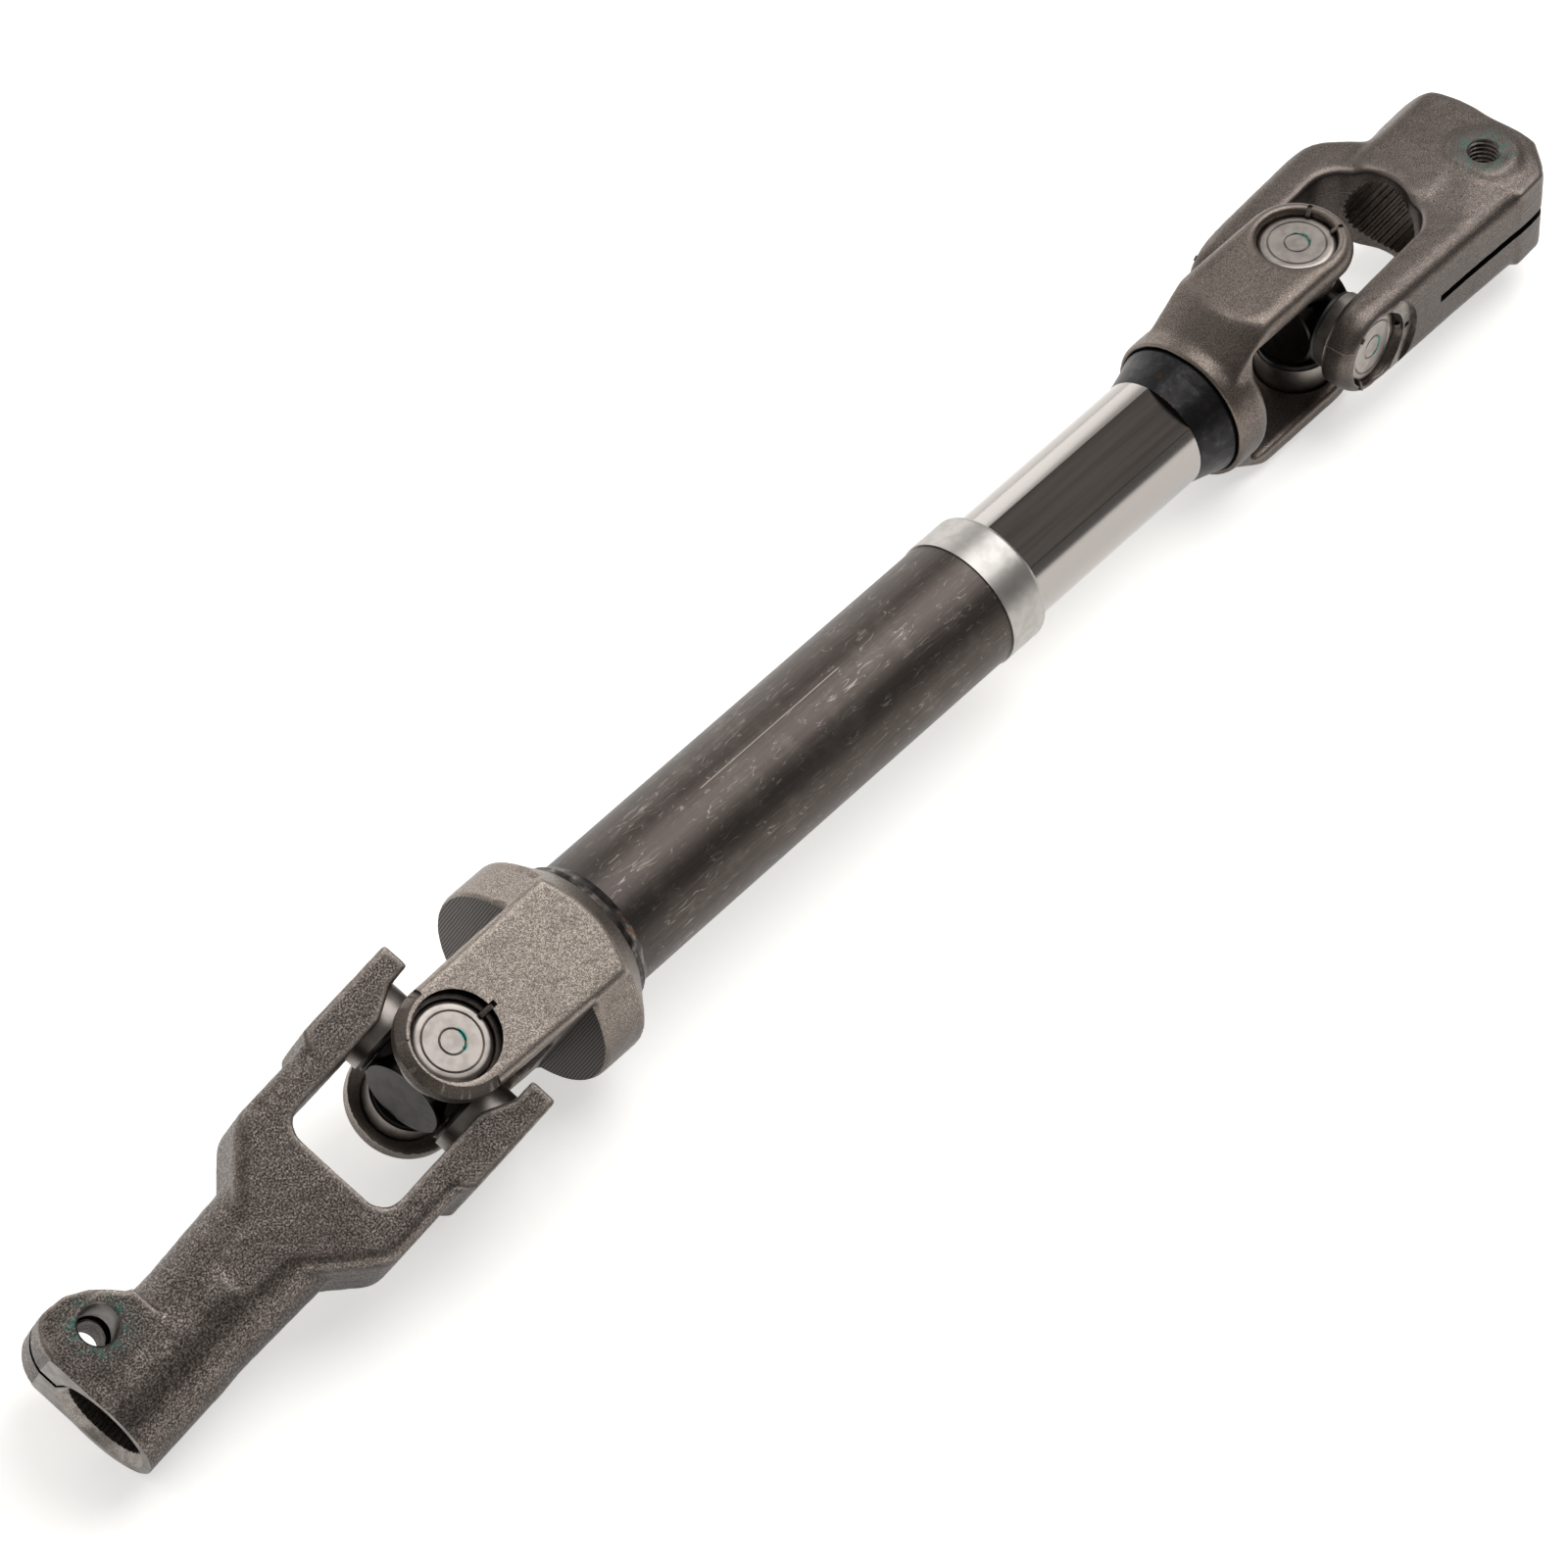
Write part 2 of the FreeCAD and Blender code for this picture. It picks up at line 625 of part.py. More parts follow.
def build_upper_yoke():
    """A short yoke whose window opens into its serrated bore, with one ear for the pinch bolt."""
    body = new_body("upper_yoke")
    plan = [
        ("-upper_tip", "upper_arm_face"),
        ("upper_shoulder", "upper_arm_face"),
        ("upper_shoulder + upper_shoulder_run", "upper_hub_radius - upper_hub_edge"),
        ("upper_hub_end - upper_hub_edge", "0"),
        ("upper_hub_end", "-upper_hub_radius + upper_hub_edge"),
        ("upper_ear_corner", "-upper_ear_face"),
        ("upper_ear_draft_end", "-upper_ear_face + upper_ear_draft"),
        ("0", "-upper_arm_face + upper_pad_inset"),
        ("-upper_tip", "-upper_arm_face + upper_pad_inset"),
    ]
    pad(body, "upper_yoke_block", polygon(body, "upper_yoke_plan", "XY", plan), "2 * upper_half_height")
    sides = [
        ("upper_shoulder", "upper_arm_face"),
        ("upper_ear_corner", "-upper_ear_face"),
        ("upper_hub_end", "-upper_hub_radius + upper_hub_edge"),
    ]
    round_off(body, "upper_yoke_corners", "upper_edge_radius", at_corner("z", sides))
    ends = [("-upper_tip", sign + "upper_half_height") for sign in ("", "-")]
    round_off(body, "upper_yoke_ends", "upper_half_height - upper_end_flat", at_corner("y", ends))
    outer = beside("upper_half_height", "-upper_tip", "upper_arm_inside", "upper_shoulder")
    round_off(body, "upper_yoke_edges", "upper_edge_radius", outer)
    hub = [
        ("upper_window_end", "0"),
        ("upper_window_end", "upper_hub_radius - upper_hub_edge"),
        ("upper_window_end + upper_hub_edge", "upper_hub_radius"),
        ("upper_hub_end - upper_hub_edge", "upper_hub_radius"),
        ("upper_hub_end", "upper_hub_radius - upper_hub_edge"),
        ("upper_hub_end", "0"),
    ]
    turned(body, "upper_yoke_hub", "Revolution", polygon(body, "upper_yoke_hub_profile", "XY", hub))
    spot = ("XY", "upper_bolt_at", "-upper_bolt_offset")
    boss = circle(body, "upper_yoke_boss_outline", *spot, "upper_boss_radius")
    pad(body, "upper_yoke_boss", boss, "2 * upper_boss_height")
    window = mirrored([("-2 * upper_tip", "upper_arm_inside"), ("upper_window_end", "upper_arm_inside")])
    pocket(body, "upper_yoke_window", polygon(body, "upper_yoke_window_outline", "XY", window))
    inner = [("upper_window_end", sign + "upper_arm_inside") for sign in ("", "-")]
    round_off(body, "upper_yoke_window_round", "upper_window_radius", at_corner("z", inner))
    cut_serrations(body, "upper_window_end", "upper_hub_end")
    cut_pinch(body, "upper_slit_start", "upper_hub_end", "upper_bolt_at", "upper_bolt_offset")
    bore_cup_seats(body, "XZ")
    return body


def build_outer_tube():
    """The drawn tube from the yoke's spigot to the end ring."""
    body = new_body("outer_tube")
    bore = "tube_diameter / 2 - tube_wall"
    wall = [
        ("tube_start", bore),
        ("tube_start", "tube_diameter / 2"),
        ("tube_end", "tube_diameter / 2"),
        ("tube_end", bore),
    ]
    turned(body, "outer_tube_turned", "Revolution", polygon(body, "outer_tube_wall", "XY", wall))
    return body


def build_tube_weld():
    """The bead that joins the tube to the yoke's collar."""
    body = new_body("tube_weld")
    on_collar = COLLAR_RADIUS + " + tube_weld_width / 2 / collar_slope"
    bead = [
        ("tube_start - tube_weld_width / 2", on_collar),
        ("tube_start", COLLAR_RADIUS),
        ("tube_start", "tube_diameter / 2"),
        ("tube_start + tube_weld_width", "tube_diameter / 2"),
        ("tube_start + tube_weld_width / 2", "tube_diameter / 2 + tube_weld_height"),
        ("tube_start", on_collar),
    ]
    turned(body, "tube_weld_bead", "Revolution", polygon(body, "tube_weld_profile", "XY", bead))
    return body


def double_d(body, name, play, offset):
    """The sliding section: a round with two flats facing Z, made larger all round by a play."""
    sketch = new_sketch(body, name, "YZ", offset)
    radius = "(shaft_diameter / 2 + %s)" % play
    flat = "(shaft_diameter / 2 - flat_depth + %s)" % play
    half_chord = "sqrt(%s ^ 2 - %s ^ 2)" % (radius, flat)
    run, rise, reach = size(half_chord), size(flat), size(radius)
    for index, side in enumerate(("", "-")):
        sign = -1 if side else 1
        line = Part.LineSegment(FreeCAD.Vector(-run, sign * rise, 0), FreeCAD.Vector(run, sign * rise, 0))
        sketch.addGeometry(line, False)
        pin_point(sketch, 2 * index, 1, "-" + half_chord, side + flat)
        pin_point(sketch, 2 * index, 2, half_chord, side + flat)
        corner_angle = math.atan2(rise, run)
        middle = 0 if sign > 0 else math.pi
        round_side = Part.Circle(FreeCAD.Vector(0, 0, 0), FreeCAD.Vector(0, 0, 1), reach)
        arc = Part.ArcOfCircle(round_side, middle - corner_angle, middle + corner_angle)
        sketch.addGeometry(arc, False)
        pin_point(sketch, 2 * index + 1, 1, side + half_chord, "-" + flat if sign > 0 else flat)
        pin_point(sketch, 2 * index + 1, 2, side + half_chord, flat if sign > 0 else "-" + flat)
    return sketch


def build_end_ring():
    """The bright ring pressed into the tube's mouth, bored to the sliding section."""
    body = new_body("end_ring")
    seat = "tube_diameter / 2 - tube_wall"
    ring = [
        ("tube_end - ring_spigot", "0"),
        ("tube_end - ring_spigot", seat),
        ("tube_end", seat),
        ("tube_end", RING_RADIUS),
        ("ring_end", RING_RADIUS),
        ("ring_end", "0"),
    ]
    turned(body, "end_ring_turned", "Revolution", polygon(body, "end_ring_profile", "XY", ring))
    round_off(body, "end_ring_lip", "ring_edge", rim_at("ring_end", RING_RADIUS))
    pocket(body, "end_ring_bore", double_d(body, "end_ring_section", "slide_play", "tube_end"))
    return body


def build_slide_liner():
    """The plastic bush inside the tube that carries the sliding shaft."""
    body = new_body("slide_liner")
    start = "tube_end - ring_spigot - liner_length"
    outside = circle(body, "slide_liner_outside", "YZ", "0", "0", "tube_diameter / 2 - tube_wall", start)
    pad(body, "slide_liner_round", outside, "liner_length", symmetric=False)
    pocket(body, "slide_liner_bore", double_d(body, "slide_liner_section", "slide_play", start))
    return body


def build_inner_shaft():
    """The bright sliding shaft: a hollow bar with two flats, held round in the shaft yoke's socket."""
    body = new_body("inner_shaft")
    end = "joint_spacing - shaft_yoke_rim + socket_depth"
    start = "shaft_inner_end"
    bar = circle(body, "inner_shaft_round", "YZ", "0", "0", "shaft_diameter / 2", start)
    pad(body, "inner_shaft_bar", bar, "%s - %s" % (end, start), symmetric=False)
    flats = mirrored([
        (start + " - ring_edge", "shaft_diameter / 2 - flat_depth"),
        ("joint_spacing - shaft_weld_start", "shaft_diameter / 2 - flat_depth"),
        ("joint_spacing - shaft_weld_start", "shaft_diameter"),
        (start + " - ring_edge", "shaft_diameter"),
    ])
    for name, side in (("upper", flats[:4]), ("lower", flats[4:])):
        pocket(body, "inner_shaft_flat_" + name, polygon(body, "inner_shaft_" + name + "_flat", "XZ", side))
    bore = circle(body, "inner_shaft_bore_section", "YZ", "0", "0", "shaft_bore / 2", start)
    pocket(body, "inner_shaft_bore", bore)
    return body


def build_shaft_weld():
    """The bead that fills the shaft yoke's socket round the shaft."""
    body = new_body("shaft_weld")
    seat = "shaft_yoke_rim - socket_depth / 2"
    bead = [
        ("shaft_weld_start", "shaft_diameter / 2"),
        ("shaft_yoke_rim + tube_weld_width", "socket_radius - socket_wall - tube_weld_height"),
        ("shaft_yoke_rim", "socket_radius - socket_wall"),
        (seat, "socket_radius - socket_wall"),
        (seat, "shaft_diameter / 2"),
    ]
    turned(body, "shaft_weld_bead", "Revolution", polygon(body, "shaft_weld_profile", "XY", bead))
    return body


def place(along="0", yaw="0", pitch="0", roll="0"):
    """A placement along X, turned about X, Y and Z in that order, from sizes."""
    turn = FreeCAD.Rotation(size(yaw), size(pitch), size(roll))
    return FreeCAD.Placement(FreeCAD.Vector(size(along), 0, 0), turn)


def pitched(angle):
    """A turn about Y by an angle in degrees: positive lowers +X."""
    return FreeCAD.Placement(FreeCAD.Vector(), FreeCAD.Rotation(0, angle, 0))


def lowest(body, placement):
    """Height of a body's lowest point once it is placed."""
    shape = body.Shape.copy()
    shape.Placement = placement
    return shape.optimalBoundingBox(False).ZMin


def settle(gap, high):
    """The angle in degrees, from none to a limit, at which a closing gap reaches zero."""
    low = 0.0
    while high - low > ANGLE_STEP:
        middle = (low + high) / 2
        if gap(middle) > 0:
            low = middle
        else:
            high = middle
    return (low + high) / 2


def build_bearings(joint, yoke_frames):
    """Four cups with their needles and seals: two in each of a joint's yokes."""
    for yoke_frame, directions in zip(yoke_frames, (("top", "bottom"), ("left", "right"))):
        for direction in directions:
            for part_name, build in BEARING_PARTS:
                body = build("%s_%s_%s" % (joint, part_name, direction))
                body.Placement = yoke_frame * place(roll=TRUNNION_ROLLS[direction])


ANGLE_STEP = 1e-4
STEEPEST_PITCH = 5.0
STEEPEST_DROOP = 20.0
BEARING_PARTS = (("cup", build_cup), ("needles", build_needles), ("seal", build_seal))
TRUNNION_ROLLS = {"top": "0", "bottom": "180", "left": "-90", "right": "90"}

tube_yoke = build_tube_yoke()
shaft_yoke = build_shaft_yoke()
lower_yoke = build_lower_yoke()
upper_yoke = build_upper_yoke()
lower_cross = build_cross("lower_cross")
upper_cross = build_cross("upper_cross")
tube_parts = [build_outer_tube(), build_tube_weld()]
sliding_parts = [build_end_ring(), build_slide_liner(), build_inner_shaft()]
shaft_weld = build_shaft_weld()

# The shaft lies on its tube yoke's lower arm and its shaft yoke's lower arm, which sets its pitch.
half_turn = place(yaw="180")
tube_turn = place(roll="tube_roll")
upper_joint = place(along="joint_spacing")
pitch = settle(
    lambda angle: lowest(shaft_yoke, pitched(angle) * upper_joint * half_turn)
    - lowest(tube_yoke, pitched(angle) * tube_turn),
    STEEPEST_PITCH,
)
shaft_frame = pitched(pitch)
tube_frame = shaft_frame * tube_turn
bench = lowest(tube_yoke, tube_frame)

# The lower yoke hangs from its joint until the end of its hub touches the same bench.
lower_cross_frame = tube_frame * place(yaw="lower_swing")
droop = settle(
    lambda angle: lowest(lower_yoke, lower_cross_frame * pitched(-angle) * half_turn) - bench,
    STEEPEST_DROOP,
)
lower_yoke_frame = lower_cross_frame * pitched(-droop) * half_turn
shaft_yoke_frame = shaft_frame * upper_joint * half_turn
upper_cross_frame = shaft_frame * upper_joint * place(yaw="upper_swing")
upper_yoke_frame = upper_cross_frame * place(pitch="upper_tilt")

for body, frame in (
    (tube_yoke, tube_frame),
    (shaft_yoke, shaft_yoke_frame),
    (lower_yoke, lower_yoke_frame),
    (upper_yoke, upper_yoke_frame),
    (lower_cross, lower_cross_frame),
    (upper_cross, upper_cross_frame),
    (shaft_weld, shaft_yoke_frame),
):
    body.Placement = frame
for body in tube_parts:
    body.Placement = tube_frame
for body in sliding_parts:
    body.Placement = shaft_frame * place(roll="flat_roll")
build_bearings("lower", (tube_frame, lower_yoke_frame))
build_bearings("upper", (shaft_yoke_frame, upper_yoke_frame))

# The origin is under the middle of the whole assembly, on the bench.
whole = Part.makeCompound([body.Shape for body in SUB_PARTS]).optimalBoundingBox(False)
shift = FreeCAD.Placement(FreeCAD.Vector(-whole.Center.x, -whole.Center.y, -whole.ZMin), FreeCAD.Rotation())
for body in SUB_PARTS:
    body.Placement = shift * body.Placement
doc.recompute()

for item in doc.Objects:
    if "Invalid" in item.State or "Error" in item.State:
        raise ValueError("%s did not recompute" % item.Name)
for body in SUB_PARTS:
    if body.Shape.isNull() or not body.Shape.isValid():
        raise ValueError("%s has no valid shape" % body.Label)

os.makedirs("parts", exist_ok=True)
for body in SUB_PARTS:
    body.Shape.exportStep("parts/%s.step" % body.Label)

print("pitch %.3f, droop %.3f degrees; %d sub-parts" % (pitch, droop, len(SUB_PARTS)))
for label, frame in (
    ("shaft", shaft_frame),
    ("tube", tube_frame),
    ("lower cross", lower_cross_frame),
    ("lower yoke", lower_yoke_frame),
    ("shaft yoke", shaft_yoke_frame),
    ("upper cross", upper_cross_frame),
    ("upper yoke", upper_yoke_frame),
):
    placed = shift * frame
    print(label, "origin (%.4f, %.4f, %.4f)" % tuple(placed.Base))
    for letter, axis in (("X", (1, 0, 0)), ("Y", (0, 1, 0)), ("Z", (0, 0, 1))):
        direction = placed.Rotation.multVec(FreeCAD.Vector(*axis))
        print("  ", letter, "(%.6f, %.6f, %.6f)" % tuple(direction))
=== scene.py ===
"""Looks of an intermediate steering shaft: a telescoping shaft with two universal joints, on a pale floor."""

import json
import logging
import math
from collections.abc import Iterator, Sequence
from contextlib import contextmanager
from dataclasses import dataclass, field

import bpy
import numpy as np
from mathutils import Matrix, Vector

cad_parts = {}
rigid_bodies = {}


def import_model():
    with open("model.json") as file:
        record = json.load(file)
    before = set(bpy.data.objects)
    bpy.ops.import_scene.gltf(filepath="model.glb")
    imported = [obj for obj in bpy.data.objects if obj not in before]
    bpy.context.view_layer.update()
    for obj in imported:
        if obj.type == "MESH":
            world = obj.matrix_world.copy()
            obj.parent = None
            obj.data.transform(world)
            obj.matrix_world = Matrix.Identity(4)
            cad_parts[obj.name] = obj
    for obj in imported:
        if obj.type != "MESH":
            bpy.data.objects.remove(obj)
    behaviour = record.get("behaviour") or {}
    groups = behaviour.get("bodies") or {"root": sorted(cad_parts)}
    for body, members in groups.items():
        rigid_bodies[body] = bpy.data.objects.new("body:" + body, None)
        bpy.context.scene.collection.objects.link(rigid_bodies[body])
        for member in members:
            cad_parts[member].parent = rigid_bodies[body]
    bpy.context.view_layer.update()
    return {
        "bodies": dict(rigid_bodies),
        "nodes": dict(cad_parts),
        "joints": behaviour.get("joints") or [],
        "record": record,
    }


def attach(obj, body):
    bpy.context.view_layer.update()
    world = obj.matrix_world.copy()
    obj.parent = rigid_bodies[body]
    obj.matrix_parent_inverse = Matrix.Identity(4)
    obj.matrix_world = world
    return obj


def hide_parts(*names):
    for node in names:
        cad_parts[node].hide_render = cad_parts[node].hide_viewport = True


LOG = logging.getLogger("steering_shaft")
MM = 0.001
SOFT = "SMOOTHSTEP"
# Points of a lathed body nearer than this, in millimetres, are one point.
POLE_GAP = 1e-4
Colour = tuple[float, float, float, float]
Inputs = dict[str | int, object]


def linear(code: str) -> Colour:
    """Turn an sRGB hex code into a linear colour.

    Args:
        code: Six hex digits, red first.

    Returns:
        Linear red, green, blue and an alpha of one.
    """
    parts = [int(code[i : i + 2], 16) / 255 for i in (0, 2, 4)]
    red, green, blue = (c / 12.92 if c <= 0.04045 else ((c + 0.055) / 1.055) ** 2.4 for c in parts)
    return (red, green, blue, 1.0)


def per(size_mm: float) -> float:
    """Texture scale whose pattern repeats about once in a size in millimetres."""
    return 1 / (size_mm * MM)


def connect(tree: bpy.types.NodeTree, node: bpy.types.Node, inputs: Inputs) -> None:
    """Give a node's inputs their values and links.

    Args:
        tree: Node tree that the node is in.
        node: The node.
        inputs: Input name or number, with its value, a socket, or a node whose first output is meant.
    """
    for key, value in inputs.items():
        if isinstance(value, bpy.types.Node):
            value = next(socket for socket in value.outputs if socket.enabled)
        if isinstance(value, bpy.types.NodeSocket):
            tree.links.new(value, node.inputs[key])
        else:
            node.inputs[key].default_value = value


def add(
    tree: bpy.types.NodeTree,
    kind: str,
    inputs: Inputs | None = None,
    stops: Sequence[tuple[float, Colour]] = (),
    **settings: object,
) -> bpy.types.Node:
    """Add one node to a material.

    Args:
        tree: Node tree that gets it.
        kind: Blender's name for the node type, after "ShaderNode".
        inputs: What goes into it, as connect takes it.
        stops: Places and colours of a ramp.
        **settings: The node's own settings.

    Returns:
        The new node.
    """
    node = tree.nodes.new("ShaderNode" + kind)
    for key, value in settings.items():
        setattr(node, key, value)
    connect(tree, node, inputs or {})
    if stops:
        elements = node.color_ramp.elements
        while len(elements) < len(stops):
            elements.new(1.0)
        for element, (place, colour) in zip(elements, stops):
            element.position = place
            element.color = colour
    return node


@dataclass(frozen=True)
class Layer:
    """A colour that comes up softly while a value goes from one level to another."""

    value: bpy.types.Node | bpy.types.NodeSocket
    start: float
    end: float
    share: float
    colour: str


def layered(tree: bpy.types.NodeTree, base: bpy.types.Node | Colour, *layers: Layer) -> bpy.types.Node:
    """Lay colours over one another.

    Args:
        tree: Node tree of the material.
        base: Colour underneath.
        *layers: The colours on top, lowest first.

    Returns:
        The node with the blended colour.
    """
    for layer in layers:
        span = {"Value": layer.value, "From Min": layer.start, "From Max": layer.end, "To Max": layer.share}
        share = add(tree, "MapRange", span, interpolation_type=SOFT)
        base = add(tree, "Mix", {0: share, 6: base, 7: linear(layer.colour)}, data_type="RGBA")
    return base


def contour(
    tree: bpy.types.NodeTree, value: object, level: float, outer: float, inner: float, share: float = 1.0
) -> bpy.types.Node:
    """Mask of the thin soft line where a value passes a level.

    Args:
        tree: Node tree of the material.
        value: Node or socket whose contour it is.
        level: The level.
        outer: Distance from the level where the line ends.
        inner: Distance up to which it is full.
        share: The mask's highest value.

    Returns:
        The mask's node.
    """
    off = add(tree, "Math", {0: value, 1: level}, operation="SUBTRACT")
    away = add(tree, "Math", {0: off}, operation="ABSOLUTE")
    span = {"Value": away, "From Min": outer, "From Max": inner, "To Max": share}
    return add(tree, "MapRange", span, interpolation_type=SOFT)


def product(tree: bpy.types.NodeTree, first: bpy.types.Node, *others: bpy.types.Node) -> bpy.types.Node:
    """Mask that is full only where all of some masks are."""
    for other in others:
        first = add(tree, "Math", {0: first, 1: other}, operation="MULTIPLY")
    return first


@dataclass(frozen=True)
class Finish:
    """What every finish has: a name, a metal's share and a place of its own on the object."""

    name: str
    metallic: float = 1.0
    place: Matrix = field(default_factory=lambda: Matrix.Identity(4))

    def build(self) -> bpy.types.Material:
        """Make the material, whose patterns read the piece's own frame.

        Returns:
            The material.
        """
        material = bpy.data.materials.new(self.name)
        material.use_nodes = True
        tree = material.node_tree
        coords = add(tree, "TexCoord").outputs["Object"]
        back = self.place.inverted()
        turned = {"Vector": coords, "Location": back.to_translation(), "Rotation": back.to_euler()}
        here = add(tree, "Mapping", turned, vector_type="POINT")
        inputs = self.pattern(tree, here)
        connect(tree, tree.nodes["Principled BSDF"], {"Metallic": self.metallic, **inputs})
        return material

    def pattern(self, tree: bpy.types.NodeTree, here: bpy.types.Node) -> Inputs:
        """Make the finish's nodes.

        Args:
            tree: Node tree of the material.
            here: Node with the coordinates in metres in the piece's own frame.

        Returns:
            The shader's inputs.
        """
        raise NotImplementedError(self.name)


@dataclass(frozen=True)
class BlastedForging(Finish):
    """Hot forged carbon steel, shot blasted and oiled: a warm grey grain that sparkles in the light."""

    dark: str = "3f3936"
    middle: str = "635b57"
    light: str = "a0978f"
    stain: str = "5a4a40"
    paint: str = "2c7a70"
    # Colour of the painted shade on the sides of a forging that face down.
    tint: str = "2b2624"
    # Shot leaves dents of 0.1 to 0.2 mm. They are drawn about twice as coarse, so that they show.
    grit_mm: float = 0.32
    blotch_mm: float = 11.0
    stain_mm: float = 7.0
    dent_mm: float = 2.2
    relief_mm: float = 0.05
    roughness: tuple[float, float] = (0.56, 0.4)
    parting_at: float | None = None
    smear_at: tuple[float, float] | None = None

    def pattern(self, tree: bpy.types.NodeTree, here: bpy.types.Node) -> Inputs:
        """Grain, bright worn edges, painted shade in hollows and on the sides that face down, tan stains, and
        what this yoke alone has.

        Args:
            tree: Node tree of the material.
            here: Node with the coordinates in metres in the piece's own frame.

        Returns:
            The shader's inputs.
        """
        grain = add(tree, "TexNoise", {"Vector": here, "Scale": per(self.grit_mm), "Detail": 3.0})
        blotch = add(tree, "TexNoise", {"Vector": here, "Scale": per(self.blotch_mm), "Detail": 3.0})
        tan = add(tree, "TexNoise", {"Vector": here, "Scale": per(self.stain_mm), "Detail": 4.0})
        dents = add(tree, "TexNoise", {"Vector": here, "Scale": per(self.dent_mm), "Detail": 1.0})
        # Bulge of the surface: high on worn edges, and low in hollows, where it paints shade.
        wear_and_shade = add(tree, "Attribute", attribute_name="wear_and_shade").outputs["Fac"]
        up = add(tree, "SeparateXYZ", {"Vector": add(tree, "TexCoord").outputs["Normal"]}).outputs["Z"]
        stops = ((0.36, linear(self.dark)), (0.5, linear(self.middle)), (0.66, linear(self.light)))
        colour = layered(
            tree,
            add(tree, "ValToRGB", {"Fac": grain}, stops),
            Layer(blotch, 0.45, 0.75, 0.3, self.dark),
            Layer(wear_and_shade, 0.55, 0.9, 0.5, self.light),
            # Painted shade: darker in hollows.
            Layer(wear_and_shade, 0.4, 0.1, 0.5, self.dark),
            # Painted shade: darker where the surface faces down.
            Layer(up, 0.35, -0.25, 0.6, self.tint),
            Layer(tan, 0.66, 0.74, 0.35, self.stain),
        )
        if self.smear_at is not None:
            smear = self.smear(tree, here)
            colour = add(tree, "Mix", {0: smear, 6: colour, 7: linear(self.paint)}, data_type="RGBA")
        height = add(tree, "Math", {0: grain, 1: dents}, operation="ADD")
        if self.parting_at is not None:
            line = self.parting(tree, here)
            faint = add(tree, "Math", {0: line, 1: 0.45}, operation="MULTIPLY")
            colour = add(tree, "Mix", {0: faint, 6: colour, 7: linear(self.light)}, data_type="RGBA")
            height = add(tree, "Math", {0: line, 1: 3.0, 2: height}, operation="MULTIPLY_ADD")
        dull, bright = self.roughness
        gloss = {"Value": grain, "From Min": 0.3, "From Max": 0.7, "To Min": dull, "To Max": bright}
        return {
            "Base Color": colour,
            "Roughness": add(tree, "MapRange", gloss),
            "Normal": add(tree, "Bump", {"Height": height, "Distance": self.relief_mm * MM, "Strength": 0.9}),
        }

    def parting(self, tree: bpy.types.NodeTree, here: bpy.types.Node) -> bpy.types.Node:
        """Mask of the thin wavering line where the die halves met.

        Args:
            tree: Node tree of the material.
            here: Node with the coordinates in metres in the piece's own frame.

        Returns:
            The mask's node.
        """
        waver = add(tree, "TexNoise", {"Vector": here, "Scale": per(6.0), "Detail": 3.0})
        up = add(tree, "SeparateXYZ", {"Vector": here}).outputs["Z"]
        moved = add(tree, "Math", {0: waver, 1: -1.6 * MM, 2: up}, operation="MULTIPLY_ADD")
        return contour(tree, moved, self.parting_at - 0.8 * MM, 0.22 * MM, 0.06 * MM)

    def smear(self, tree: bpy.types.NodeTree, here: bpy.types.Node) -> bpy.types.Node:
        """Mask of the thin inspection paint rubbed round the pinch bolt's hole.

        Args:
            tree: Node tree of the material.
            here: Node with the coordinates in metres in the piece's own frame.

        Returns:
            The mask's node.
        """
        across, aside = self.smear_at
        spot = add(tree, "Mapping", {"Vector": here, "Location": (-across, -aside, 0)})
        parts = add(tree, "SeparateXYZ", {"Vector": spot}).outputs
        flat = add(tree, "CombineXYZ", {"X": parts["X"], "Y": parts["Y"]})
        reach = add(tree, "VectorMath", {0: flat}, operation="LENGTH")
        patchy = add(tree, "TexNoise", {"Vector": here, "Scale": per(1.6), "Detail": 4.0})
        masks = []
        for value, start, end, share in (
            (reach, 8.5 * MM, 3.8 * MM, 1.0),
            (parts["Z"], 8.0 * MM, 10.0 * MM, 1.0),
            (patchy, 0.42, 0.66, 0.55),
        ):
            span = {"Value": value, "From Min": start, "From Max": end, "To Max": share}
            masks.append(add(tree, "MapRange", span, interpolation_type=SOFT))
        return product(tree, *masks)


